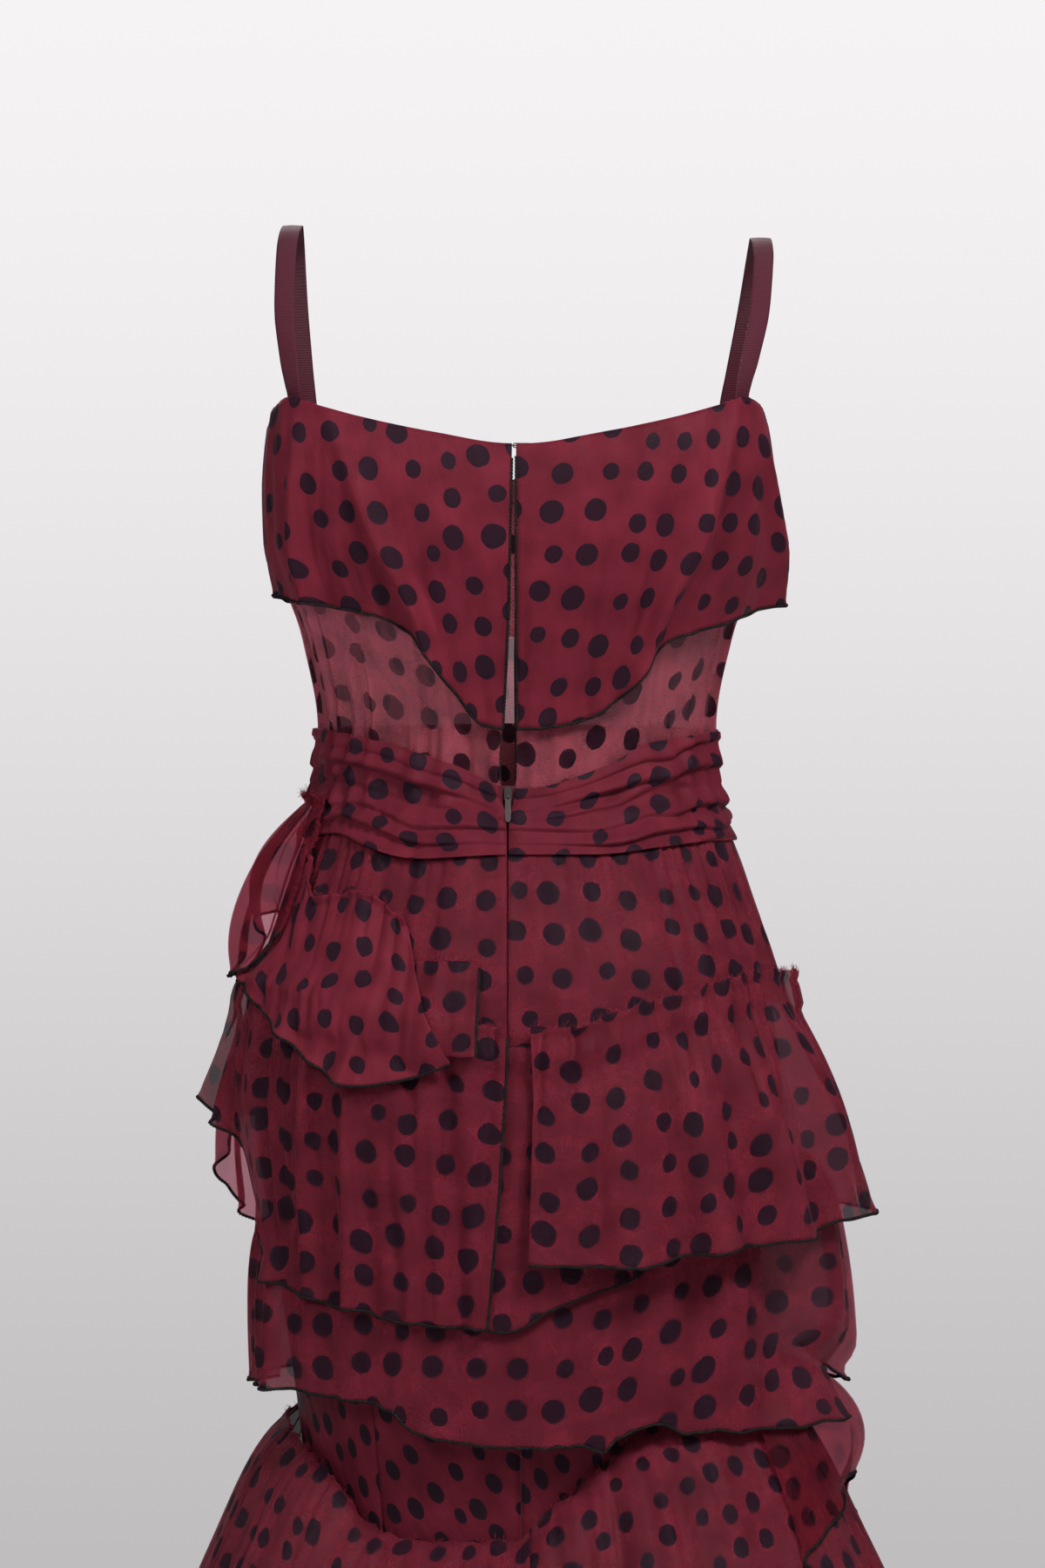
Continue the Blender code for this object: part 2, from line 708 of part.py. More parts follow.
PANELS = [
    Panel("sheath_back_left", seam(-1, 1), seam(37, -1), WAIST_SEAM - SEAM_GAP, SHEATH_HEM,
          SHEATH_EASE, step=9.0, rows=SHEATH_ROWS, colour=DEEP_WINE,
          start_line=[Gap(0, ZIP_X + 0.0009), Gap(0.3, ZIP_X + 0.0009), Gap(0.36, 0.0002),
                      Gap(1, -0.0018)]),
    Panel("sheath_side_left", seam(37, 1), seam(110, -1), WAIST_SEAM - SEAM_GAP, SHEATH_HEM,
          SHEATH_EASE, step=9.0, rows=SHEATH_ROWS, colour=DEEP_WINE),
    Panel("sheath_front", seam(110, 1), seam(250, -1), WAIST_SEAM - SEAM_GAP, SHEATH_HEM,
          SHEATH_EASE, step=9.0, rows=SHEATH_ROWS, colour=DEEP_WINE),
    Panel("sheath_side_right", seam(-110, 1), seam(-37, -1), WAIST_SEAM - SEAM_GAP, SHEATH_HEM,
          SHEATH_EASE, step=9.0, rows=SHEATH_ROWS, colour=DEEP_WINE),
    Panel("sheath_back_right", seam(-37, 1), seam(-1, -1), WAIST_SEAM - SEAM_GAP, SHEATH_HEM,
          SHEATH_EASE, step=9.0, rows=SHEATH_ROWS, colour=DEEP_WINE,
          end_line=[Gap(0, ZIP_X - 0.0009), Gap(0.3, ZIP_X - 0.0009), Gap(0.36, -0.0002),
                    Gap(1, -0.0022)]),
    Panel("lower_flounce_left", seam(-2, 1), seam(100, -1), Line(LOWER_SEAM, HEADER), GOWN_HEM,
          FLOUNCE_EASE, SHEATH, even_folds(-2, 100, 6, 0.001, 0.022, 11),
          step=4.0, rows=7, spread=0.58),
    Panel("lower_flounce_front", seam(100, 1), seam(262, -1), Line(LOWER_SEAM, HEADER), GOWN_HEM,
          FLOUNCE_EASE, SHEATH, even_folds(100, 262, 8, 0.001, 0.020, 12),
          step=5.5, rows=7, spread=0.58),
    Panel("lower_flounce_right", seam(-98, 1), seam(-2, -1), Line(LOWER_SEAM, HEADER), GOWN_HEM,
          FLOUNCE_EASE, SHEATH, even_folds(-98, -2, 6, 0.001, 0.022, 13),
          step=4.0, rows=7, spread=0.58),
    Panel("tier3_front", 200, 306, TIER3_TOP, TIER3_HEM,
          [Ease(200, 0.0, 0.050), Ease(235, 0.0, 0.075), Ease(278, 0.0, 0.078),
           Ease(306, 0.0, 0.070)],
          SHEATH + LOWER, even_folds(205, 302, 5, 0.001, 0.008, 14), step=5.0, rows=5,
          spread=0.45),
    Panel("tier2_back", -85, 85, TIER2_TOP, TIER2_HEM,
          [Ease(-85, 0.0, 0.055), Ease(-55, 0.0, 0.045), Ease(-20, 0.0, 0.026),
           Ease(0, 0.0, 0.022), Ease(30, 0.0, 0.020), Ease(60, 0.0, 0.024),
           Ease(85, 0.0, 0.028)],
          SHEATH + LOWER + ("tier3_front",),
          [Fold(-17.5, -16, 5, 4, 0.002, 0.009), Fold(-48, -50, 9, 12, 0.001, 0.006),
           Fold(24, 22, 8, 7, 0.001, 0.006), Fold(60, 64, 12, 9, 0.001, 0.006)],
          step=5.0, rows=5),
    Panel("tier2_front", 83, 281, TIER2_TOP, -0.6960,
          [Ease(83, 0.0, 0.030), Ease(140, 0.0, 0.030), Ease(200, 0.0, 0.034),
           Ease(245, 0.0, 0.055), Ease(281, 0.0, 0.070)],
          SHEATH + LOWER + ("tier3_front", "tier2_back"),
          even_folds(95, 270, 8, 0.001, 0.007, 15), step=6.5, rows=4, spread=0.8),
    Panel("bodice_back_left", 1.2, seam(88, -1), NECKLINE, WAIST_SEAM,
          [Ease(0, 0.003, 0.003), Ease(88, 0.003, 0.003)], step=7.5, blouse=0.004,
          start_line=[Gap(0, 0.0052), Gap(0.6, 0.0065), Gap(0.86, 0.0104), Gap(0.93, 0.0104),
                      Gap(1, ZIP_X + 0.0012)]),
    Panel("bodice_front", seam(88, 1), seam(272, -1), NECKLINE, WAIST_SEAM,
          [Ease(88, 0.003, 0.003), Ease(272, 0.003, 0.003)], step=8.0, blouse=0.004),
    Panel("bodice_back_right", seam(-88, 1), -0.5, NECKLINE, WAIST_SEAM,
          [Ease(-88, 0.003, 0.003), Ease(0, 0.003, 0.003)], step=7.5, blouse=0.004,
          end_line=[Gap(0, -0.0010), Gap(0.6, 0.0020), Gap(0.86, 0.0014), Gap(0.93, 0.0014),
                    Gap(1, ZIP_X - 0.0012)]),
    Panel("zip_tape", 0.5, 2.9, SLIDER_TOP + 0.0015, -0.4900,
          [Ease(-10, 0.0, 0.0), Ease(10, 0.0, 0.0)],
          ("bodice_back_left", "bodice_back_right", "sheath_back_left", "sheath_back_right"),
          step=1.2, rows=8, rest=SEAM_GAP, wall=TAPE, colour=DEEP_WINE,
          start_line=[Gap(0, ZIP_X - 0.004), Gap(1, ZIP_X - 0.004)],
          end_line=[Gap(0, ZIP_X + 0.004), Gap(1, ZIP_X + 0.004)]),
    Panel("overskirt_back_left", 1.2, seam(88, -1), SKIRT_TOP, Line(TIER1_SEAM, -TURNING),
          [Ease(0, 0.0, 0.012), Ease(40, 0.0, 0.014), Ease(88, 0.0, 0.021)],
          SHEATH + ("zip_tape",), even_folds(4, 88, 5, 0.0004, 0.004, 16),
          rows=4, spread=0.7,
          start_line=[Gap(0, ZIP_X + 0.0007), Gap(1, ZIP_X + 0.0004)]),
    Panel("overskirt_front", seam(88, 1), seam(272, -1), SKIRT_TOP, Line(TIER1_SEAM, -TURNING),
          [Ease(88, 0.0, 0.021), Ease(180, 0.0, 0.016), Ease(272, 0.0, 0.022)],
          SHEATH, even_folds(92, 268, 8, 0.0004, 0.004, 17), step=7.0, rows=4, spread=0.7),
    Panel("overskirt_back_right", seam(-88, 1), 0.5, SKIRT_TOP, Line(TIER1_SEAM, -TURNING),
          [Ease(-88, 0.0, 0.022), Ease(-40, 0.0, 0.014), Ease(0, 0.0, 0.012)],
          SHEATH + ("zip_tape",), even_folds(-88, -4, 5, 0.0004, 0.004, 18),
          rows=4, spread=0.7,
          end_line=[Gap(0, ZIP_X - 0.0007), Gap(1, ZIP_X - 0.0004)]),
    Panel("tier1_centre", -22.6, 5.0, -0.4920, TIER1_CENTRE_HEM,
          [Ease(-23, 0.0, 0.014), Ease(5, 0.0, 0.014)],
          OVERSKIRT + SHEATH + ("tier2_back",), step=4.6, rows=5),
    Panel("tier1_left", 2.0, 92, Line(TIER1_SEAM, HEADER), TIER1_LEFT_HEM,
          [Ease(0, 0.0, 0.022), Ease(30, 0.0, 0.020), Ease(60, 0.0, 0.015),
           Ease(92, 0.0, 0.010)],
          OVERSKIRT + SHEATH + ("tier2_back", "tier2_front", "tier1_centre"),
          [Fold(8, 7, 4, 4, 0.001, 0.005), Fold(14, 14, 4, 3, 0.001, 0.005),
           Fold(22, 21, 4, 4, 0.001, 0.006), Fold(33, 37, 6, 4, 0.001, 0.007),
           Fold(46, 50, 6, 3, 0.001, 0.008), Fold(66, 68, 8, 7, 0.001, 0.005)],
          step=4.0, rows=5,
          start_line=[Gap(0, 0.0062), Gap(0.12, 0.0062), Gap(0.55, 0.0104), Gap(1, 0.0166)]),
    Panel("tier1_right", seam(-98, 1), -1.0, Line(TIER1_SEAM, HEADER), TIER1_RIGHT_HEM,
          [Ease(-98, 0.0, 0.058), Ease(-75, 0.0, 0.060), Ease(-45, 0.0, 0.046),
           Ease(-20, 0.0, 0.036), Ease(0, 0.0, 0.032)],
          OVERSKIRT + SHEATH + ("tier2_back", "tier2_front", "tier1_centre"),
          [Fold(-13, -19, 7, 5, 0.001, 0.008), Fold(-27, -37, 9, 6, 0.001, 0.009),
           Fold(-41, -54, 9, 7, 0.001, 0.009), Fold(-60, -76, 10, 8, 0.001, 0.009)],
          step=4.0, rows=5, spread=0.9,
          end_line=[Gap(0, 0.0050), Gap(0.1, 0.0012), Gap(0.5, -0.0022), Gap(1, -0.0052)]),
    Panel("tier1_front", 88, seam(262, -1), Line(TIER1_SEAM, HEADER), TIER1_FRONT_HEM,
          [Ease(88, 0.0, 0.018), Ease(100, 0.0, 0.022), Ease(130, 0.0, 0.026),
           Ease(180, 0.0, 0.028), Ease(230, 0.0, 0.044), Ease(262, 0.0, 0.058)],
          OVERSKIRT + SHEATH + ("tier2_front", "tier2_back", "tier1_left"),
          even_folds(100, 250, 7, 0.001, 0.007, 19), step=6.0, rows=4, spread=0.9),
    Panel("neck_flounce_back_left", 1.2, seam(88, -1), NECKLINE, FLOUNCE_HEM,
          [Ease(0, 0.0, 0.010), Ease(26, 0.0, 0.014), Ease(39, 0.0, 0.012),
           Ease(65, 0.0, 0.014), Ease(88, 0.0, 0.012)],
          BODICE,
          [Fold(48, 21, 10, 6, 0.002, 0.011), Fold(60, 55, 7, 8, 0.001, 0.010)],
          step=4.5, rows=6,
          start_line=[Gap(0, 0.0052), Gap(0.6, 0.0062), Gap(1, 0.0088)]),
    Panel("neck_flounce_front", seam(88, 1), seam(272, -1), NECKLINE, FLOUNCE_HEM,
          [Ease(88, 0.0, 0.012), Ease(120, 0.0, 0.016), Ease(165, 0.0, 0.020),
           Ease(240, 0.0, 0.020), Ease(272, 0.0, 0.020)],
          BODICE, even_folds(95, 265, 8, 0.001, 0.007, 20), step=6.5, rows=5),
    Panel("neck_flounce_back_right", seam(-88, 1), -0.5, NECKLINE, FLOUNCE_HEM,
          [Ease(-88, 0.0, 0.020), Ease(-61, 0.0, 0.018), Ease(-39, 0.0, 0.013),
           Ease(-30, 0.0, 0.012), Ease(-18, 0.0, 0.010), Ease(0, 0.0, 0.010)],
          BODICE,
          [Fold(-60, -32, 6, 10, 0.002, 0.008), Fold(-70, -80, 7, 9, 0.001, 0.009)],
          step=4.5, rows=6,
          end_line=[Gap(0, -0.0010), Gap(0.6, -0.0005), Gap(1, -0.0010)]),
    Panel("sash_back_left", 1.5, seam(88, -1), SASH_TOP, SASH_HEM,
          [Ease(0, 0.0, 0.0), Ease(25, 0.004, 0.004), Ease(88, 0.005, 0.006)],
          BODICE + OVERSKIRT + SHEATH + ("zip_tape",), step=6.0, rows=9, pleats=3,
          pleat_rise=0.0022, rest=SEAM_GAP, wall=PLEATED,
          start_line=[Gap(0, ZIP_X + 0.0042), Gap(0.24, ZIP_X + 0.0030),
                      Gap(0.40, ZIP_X + 0.0008), Gap(1, ZIP_X + 0.0006)]),
    Panel("sash_front", seam(88, 1), seam(272, -1), SASH_TOP, SASH_HEM,
          [Ease(88, 0.005, 0.006), Ease(272, 0.005, 0.006)],
          BODICE + OVERSKIRT + SHEATH, step=12.0, rows=9, pleats=3, pleat_rise=0.0022,
          rest=SEAM_GAP, wall=PLEATED),
    Panel("sash_back_right", seam(-88, 1), 0.3, SASH_TOP, SASH_HEM,
          [Ease(-88, 0.005, 0.006), Ease(-25, 0.004, 0.004), Ease(0, 0.0, 0.0)],
          BODICE + OVERSKIRT + SHEATH + ("zip_tape",), step=6.0, rows=9, pleats=3,
          pleat_rise=0.0022, rest=SEAM_GAP, wall=PLEATED,
          end_line=[Gap(0, ZIP_X - 0.0042), Gap(0.24, ZIP_X - 0.0030),
                    Gap(0.40, ZIP_X - 0.0008), Gap(1, ZIP_X - 0.0006)]),
    Panel("hip_drape_under", 6.5, 20, -0.4420, -0.4970,
          [Ease(6.5, 0.0, 0.012), Ease(20, 0.0, 0.012)],
          OVERSKIRT + TIER1, step=4.5, rows=3),
    Panel("hip_drape", 9.4, 72, DRAPE_TOP, DRAPE_HEM,
          [Ease(9, 0.0, 0.016), Ease(30, 0.0, 0.022), Ease(55, 0.0, 0.032),
           Ease(72, 0.0, 0.034)],
          OVERSKIRT + TIER1 + ("tier1_front", "hip_drape_under", "sash_back_left"),
          [Fold(24, 20, 7, 7, 0.001, 0.006), Fold(44, 40, 8, 8, 0.001, 0.007),
           Fold(60, 60, 8, 8, 0.001, 0.008)],
          step=4.0, rows=5),
    Panel("hip_frill", 66, 125, -0.3450, -0.4400,
          [Ease(66, 0.0, 0.018), Ease(80, 0.0, 0.020), Ease(100, 0.0, 0.020),
           Ease(125, 0.0, 0.014)],
          OVERSKIRT + TIER1 + SASH + ("tier1_front", "hip_drape"),
          [Fold(74, 72, 7, 7, 0.002, 0.012), Fold(92, 90, 8, 8, 0.002, 0.013),
           Fold(111, 112, 8, 8, 0.002, 0.011)],
          step=3.7, rows=5, spread=0.45, blouse=0.017),
]


def build_gown():
    for old in list(bpy.data.objects):
        bpy.data.objects.remove(old, do_unlink=True)

    sheets = {}
    for panel in PANELS:
        angle, height, ease, v = lay_out(panel)
        under = [sheets[name] for name in panel.over]
        sheet = settled(panel, angle, height, ease, v, under)
        sheets[panel.name] = sheet
        add_sheet(panel.name, sheet.points, panel.wall, material(panel.name, panel.colour, 0.62))

    for strap in STRAPS:
        back = "bodice_back_left" if strap.side > 0 else "bodice_back_right"
        points = strap_points(strap, sheets[back], sheets["bodice_front"])
        add_sheet(strap.name, points, GROSGRAIN, material(strap.name, RIBBON, 0.7))

    # The slider rests on the tape and leans as the tape does
    tape = sheets["zip_tape"].points
    height = SLIDER_TOP - SLIDER_HEIGHT / 2
    tape_y = float(np.max([np.interp(-height, -c[:, 2], c[:, 1]) for c in tape]))
    foot_y = float(np.max([np.interp(-SLIDER_TOP, -c[:, 2], c[:, 1]) for c in tape]))
    lean = math.atan2(tape_y - foot_y, SLIDER_HEIGHT / 2)
    stand = TAPE / 2 + SEAM_GAP
    frame = Matrix.Translation((ZIP_X, tape_y + stand * math.cos(lean), height))
    frame = frame @ Matrix.Rotation(lean, 4, "X")
    slider = add_slider(material("zip_slider", STEEL, 0.28, 1.0))
    slider.matrix_world = frame

    # The pull hangs on the bridge and lies along the sash below it
    axis = frame @ Vector((0, SLIDER_DEPTH + PULL_CLEARANCE + PULL_THICKNESS / 2, 0))
    sash = np.concatenate([sheets["sash_back_left"].points[0], sheets["sash_back_right"].points[-1]])
    below = sash[(sash[:, 2] < axis.z) & (sash[:, 2] > axis.z - PULL_DROP - 0.004)]
    clear = PLEATED / 2 + PULL_THICKNESS / 2 + SEAM_GAP
    swing = max(
        math.atan2(y + clear * PULL_MARGIN - axis.y, axis.z - z) for _, y, z in below if axis.z - z > 0.003
    )
    pull = add_pull(material("zip_pull", STEEL, 0.25, 1.0))
    pull.matrix_world = Matrix.Translation(axis) @ Matrix.Rotation(swing, 4, "X")
    print("hinge", [round(c, 5) for c in axis], "lean", round(math.degrees(lean), 2),
          "swing", round(math.degrees(swing), 2))

    # Hook and eye on the inside of the bodice's top corners
    inside = CHIFFON / 2 + SEAM_GAP + WIRE
    corners = sheets["bodice_back_left"].points[:2, 0], sheets["bodice_back_right"].points[-2:, 0]
    y = float(np.min(np.concatenate(corners)[:, 1])) - inside
    hook = [(0.0105, 0), (0.0070, 0), (0.0052, 0.4), (0.0042, 1), (0.0022, 1), (0.0012, 0.5),
            (0.0012, -0.5), (0.0022, -1), (0.0034, -1)]
    add_wire("hook", [(x, y + out * HOOK_STEP, HOOK_HEIGHT) for x, out in hook], WIRE,
             material("hook", STEEL, 0.3, 1.0))
    bow = [(EYE_X - EYE_RADIUS * (1 - math.sin(a)), EYE_RADIUS * math.cos(a))
           for a in (math.pi * k / EYE_STEPS for k in range(EYE_STEPS + 1))]
    eye = [(EYE_FOOT, EYE_RADIUS)] + bow + [(EYE_FOOT, -EYE_RADIUS)]
    add_wire("eye", [(x, y, HOOK_HEIGHT + z) for x, z in eye], WIRE,
             material("eye", STEEL, 0.3, 1.0))


build_gown()
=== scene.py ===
import math

import bpy
import numpy as np
from mathutils import Matrix, Vector


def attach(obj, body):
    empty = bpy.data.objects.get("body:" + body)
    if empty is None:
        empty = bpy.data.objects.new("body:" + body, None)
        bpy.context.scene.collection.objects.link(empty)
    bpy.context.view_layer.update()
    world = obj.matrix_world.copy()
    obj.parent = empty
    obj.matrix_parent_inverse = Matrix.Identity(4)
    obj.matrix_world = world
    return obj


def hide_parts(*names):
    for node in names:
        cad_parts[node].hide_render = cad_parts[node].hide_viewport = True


# A tiered evening gown of dotted chiffon, seen from the back. Metres, Z up, back towards +Y.
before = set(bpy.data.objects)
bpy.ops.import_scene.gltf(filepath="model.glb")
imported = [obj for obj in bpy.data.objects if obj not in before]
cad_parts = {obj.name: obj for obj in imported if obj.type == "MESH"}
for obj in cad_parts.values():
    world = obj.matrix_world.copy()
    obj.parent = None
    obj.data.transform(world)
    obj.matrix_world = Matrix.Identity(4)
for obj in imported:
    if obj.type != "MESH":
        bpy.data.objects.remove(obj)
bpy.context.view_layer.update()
print("frame loaded", len(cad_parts), "nodes")

# The figure the gown was cut for: height, half width, half depth, middle y, boxiness
figureRows = np.array([
    (-1.32, 0.121, 0.097, -0.002, 2.3), (-0.8, 0.121, 0.097, -0.002, 2.3),
    (-0.72, 0.129, 0.102, 0.000, 2.3), (-0.62, 0.1435, 0.11, 0.002, 2.3),
    (-0.53, 0.156, 0.113, 0.003, 2.3), (-0.46, 0.148, 0.105, 0.000, 2.3),
    (-0.39, 0.126, 0.091, -0.009, 2.3), (-0.345, 0.113, 0.083, -0.016, 2.3),
    (-0.305, 0.111, 0.085, -0.019, 2.5), (-0.25, 0.121, 0.1, -0.02, 2.9),
    (-0.19, 0.142, 0.112, -0.018, 3.6), (-0.125, 0.1455, 0.098, -0.006, 4.6),
    (-0.09, 0.144, 0.092, -0.006, 4.6),
])
widthPower = 2 / 2.3
zipX = 0.006
waistSeam = -0.35

# Edges as angle and height. 0 is the centre back, 90 the wearer's left, 180 the front.
necklineHalf = [(0, -0.1375), (16, -0.131), (35, -0.122), (50, -0.1145), (64, -0.1085),
                (72, -0.112), (90, -0.127), (104, -0.123), (119, -0.1125), (140, -0.13),
                (180, -0.148)]
neckline = [(-a, z) for a, z in necklineHalf[:0:-1]] + necklineHalf
flounceHem = [(-180, -0.245), (-150, -0.235), (-120, -0.228), (-88, -0.229), (-60.6, -0.242),
              (-39, -0.255), (-29.5, -0.281), (-18, -0.299), (-12, -0.303), (0, -0.306),
              (8, -0.3035), (16, -0.281), (26, -0.25), (39, -0.2366), (65, -0.229),
              (90, -0.222), (120, -0.225), (150, -0.235), (180, -0.245)]
sashTop = [(-180, -0.3), (-80, -0.3058), (-40, -0.313), (-22.7, -0.3276), (0, -0.3406),
           (16, -0.3266), (40, -0.313), (65, -0.306), (90, -0.304), (180, -0.3)]
sashHem = [(-180, -0.372), (-60, -0.372), (-38, -0.3754), (-17, -0.3796), (0, -0.3796),
           (24, -0.382), (42, -0.3744), (56, -0.3676), (80, -0.37), (180, -0.372)]
tier1Seam = [(-180, -0.46), (-90, -0.457), (-60, -0.455), (-40, -0.463), (-22, -0.474),
             (-8, -0.486), (0, -0.487), (15, -0.48), (40, -0.468), (90, -0.456),
             (180, -0.46)]
lowerSeam = [(-180, -0.7), (-90, -0.7), (-60, -0.702), (-26.8, -0.728), (-17.2, -0.749),
             (-5.5, -0.772), (0, -0.788), (15.6, -0.79), (38, -0.783), (52.6, -0.754),
             (85, -0.728), (120, -0.72), (180, -0.7)]


def smooth(x, xs, ys):
    # a smooth curve through points that never overshoots them
    xs, ys = np.asarray(xs, float), np.asarray(ys, float)
    x = np.clip(np.asarray(x, float), xs[0], xs[-1])
    secant = np.diff(ys) / np.diff(xs)
    product = secant[:-1] * secant[1:]
    inner = np.where(product > 0, 2 * product / (secant[:-1] + secant[1:] + 1e-30), 0.0)
    slope = np.concatenate([[secant[0]], inner, [secant[-1]]])
    i = np.clip(np.searchsorted(xs, x) - 1, 0, len(xs) - 2)
    span = xs[i + 1] - xs[i]
    t = (x - xs[i]) / span
    rise = ys[i] * (1 + 2 * t) * (1 - t) ** 2 + ys[i + 1] * t * t * (3 - 2 * t)
    return rise + span * t * (1 - t) * (slope[i] * (1 - t) - slope[i + 1] * t)


def along(rows, x, column=1):
    return smooth(x, [row[0] for row in rows], [row[column] for row in rows])


def heightOf(line, angle):
    # a line is a height, a list of levels, or a list with an offset
    if isinstance(line, tuple):
        return heightOf(line[0], angle) + line[1]
    if isinstance(line, list):
        if line[0][0] == -180:
            angle = np.mod(angle + 180, 360) - 180
        return along(line, angle)
    return np.full(np.shape(angle), float(line))


def ring(angle, height):
    # the figure's surface point and its outward direction
    halfWidth, halfDepth, middle, boxy = (smooth(height, figureRows[:, 0], figureRows[:, k])
                                          for k in (1, 2, 3, 4))
    sine, cosine = np.sin(np.radians(angle)), np.cos(np.radians(angle))
    across = np.abs(sine) ** widthPower
    deep = np.maximum(1 - across ** boxy, 0) ** (1 / boxy)
    nx = np.sign(sine) * across ** (boxy - 1) / halfWidth
    ny = np.sign(cosine) * deep ** (boxy - 1) / halfDepth
    size = np.hypot(nx, ny)
    x, y = np.sign(sine) * halfWidth * across, middle + np.sign(cosine) * halfDepth * deep
    return np.stack([x, y, height], -1), np.stack([nx / size, ny / size, 0 * height], -1)


def turn(x, height):
    # the angle at which the figure's back is x to the left of its middle
    share = np.minimum(np.abs(x) / smooth(height, figureRows[:, 0], figureRows[:, 1]), 1)
    return np.degrees(np.arcsin(share ** (1 / widthPower))) * np.sign(x)


def wander(x, cells, seed):
    # soft chance along the ring, repeating every 360 degrees
    values = np.random.default_rng(seed).uniform(-1, 1, int(cells))
    x = np.mod(x, 360) / 360 * cells
    i = np.floor(x).astype(int)
    t = x - i
    t = t * t * (3 - 2 * t)
    return values[i % cells] * (1 - t) + values[(i + 1) % cells] * t


def foldRise(fold, angle, v):
    # one named fold: crest angle at seam and hem, half widths, rise at seam and hem, mushroom
    topAngle, hemAngle, near, far, topRise, hemRise = fold[:6]
    away = np.mod(angle - topAngle - (hemAngle - topAngle) * v + 180, 360) - 180
    width = np.where(away < 0, near, far)
    shape = np.cos(np.clip(away / width, -1, 1) * math.pi / 2) ** 2
    return shape * (topRise + (hemRise - topRise) * v ** 0.8)


def foldTurn(fold, angle, v):
    # folds that bulge over their own foot, as loose ruffles do
    topAngle, hemAngle, near, far = fold[:4]
    bulge = fold[6] if len(fold) > 6 else 0.0
    away = np.mod(angle - topAngle - (hemAngle - topAngle) * v + 180, 360) - 180
    width = np.where(away < 0, near, far)
    return bulge * width * np.sin(np.clip(away / width, -1, 1) * math.pi) * v


def evenFolds(start, end, count, topRise, hemRise, seed, fill=0.62, bulge=0.0):
    chance = np.random.default_rng(seed)
    step = (end - start) / count
    folds = []
    for k in range(count):
        crest = start + step * (k + 0.5 + chance.uniform(-0.22, 0.22))
        drift = step * chance.uniform(-0.22, 0.22)
        near = step * fill * chance.uniform(0.78, 1.22)
        far = step * fill * chance.uniform(0.78, 1.22)
        folds.append((crest, crest + drift, near, far, topRise, hemRise * chance.uniform(0.6, 1.25),
                      bulge))
    return folds


def gatherRise(angle, v, rows):
    # rows of small folds: how many round the ring, rise at seam, middle and hem, sharpness, seed
    rise = 0 * angle
    for count, atSeam, atMiddle, atHem, sharp, seed in rows:
        lean = wander(angle, max(count // 3, 5), seed + 1)
        drift = v * wander(angle, max(count // 5, 5), seed + 2)
        phase = angle * count / 360 + 0.55 * lean + 0.35 * drift
        size = np.clip(0.55 + 0.75 * wander(angle, max(count * 2 // 3, 5), seed + 3), 0, 1.3)
        ridge = (0.5 + 0.5 * np.cos(math.tau * phase)) ** abs(sharp)
        ridge = ridge * size if sharp > 0 else 1 - ridge * size  # below 0: creases between puffs
        rise = rise + ridge * smooth(v, [0, 0.4, 1], [atSeam, atMiddle, atHem])
    return rise


# What each finished sheet covers, as its height over the figure by angle and level
chartStep, chartDrop = 0.5, 0.002
chartTop, chartRows, chartColumns = -0.09, 620, 720
sideFall, downFall = 0.9 * 0.0014, 0.7 * chartDrop  # how fast a bridge falls away, a cell
charts = {}
nothing = -1.0


def fillChart(name, angle, height, ease):
    def finer(field, times, axis):
        count = field.shape[axis]
        at = np.linspace(0, count - 1, (count - 1) * times + 1)
        low = np.clip(np.floor(at).astype(int), 0, count - 2)
        t = (at - low).reshape((-1, 1) if axis == 0 else (1, -1))
        return np.take(field, low, axis) * (1 - t) + np.take(field, low + 1, axis) * t
    angle, height, ease = (finer(finer(f, 3, 0), 4, 1) for f in (angle, height, ease))
    chart = np.full((chartRows, chartColumns), nothing)
    columns = np.round(np.mod(angle, 360) / chartStep).astype(int) % chartColumns
    rows = np.clip(np.round((chartTop - height) / chartDrop).astype(int), 0, chartRows - 1)
    np.maximum.at(chart, (rows, columns), ease)
    charts[name] = chart


def floorUnder(names, angle, height):
    # the highest sheet beneath, bridged smoothly where one of them ends
    if not names:
        return np.full(np.shape(angle), nothing)
    chart = np.maximum.reduce([charts[name] for name in names])
    solid = chart.copy()
    for _ in range(2):
        for k in range(chartColumns):
            chart[:, k] = np.maximum(chart[:, k], chart[:, k - 1] - sideFall)
        for k in range(chartColumns - 1, -1, -1):
            chart[:, k] = np.maximum(chart[:, k], chart[:, (k + 1) % chartColumns] - sideFall)
    for k in range(1, chartRows):
        chart[k] = np.maximum(chart[k], chart[k - 1] - downFall)
    for k in range(chartRows - 2, -1, -1):
        chart[k] = np.maximum(chart[k], chart[k + 1] - downFall)
    soft = chart
    for _ in range(3):
        soft = (np.roll(soft, 1, 1) + np.roll(soft, -1, 1) + 2 * soft) / 4
        soft[1:-1] = (soft[:-2] + soft[2:] + 2 * soft[1:-1]) / 4
    chart = np.maximum(soft, solid)
    x = np.mod(angle, 360) / chartStep
    y = np.clip((chartTop - height) / chartDrop, 0, chartRows - 1.001)
    i, j = np.floor(x).astype(int), np.floor(y).astype(int)
    s, t = x - i, y - j
    i, other = i % chartColumns, (i + 1) % chartColumns
    return ((chart[j, i] * (1 - s) + chart[j, other] * s) * (1 - t)
            + (chart[j + 1, i] * (1 - s) + chart[j + 1, other] * s) * t)


def runLength(points, axis=0):
    # how far each point lies along its row or column
    steps = np.linalg.norm(np.diff(points, axis=axis), axis=-1)
    first = np.zeros_like(np.take(steps, [0], axis))
    return np.concatenate([first, np.cumsum(steps, axis=axis)], axis=axis)


def pointAt(at, run, path):
    return np.stack([np.interp(at, run, path[:, k]) for k in range(3)], -1)


def sizeAt(value, angle):
    # a value is one size, or a list of sizes round the ring
    return along(value, angle) if isinstance(value, list) else value


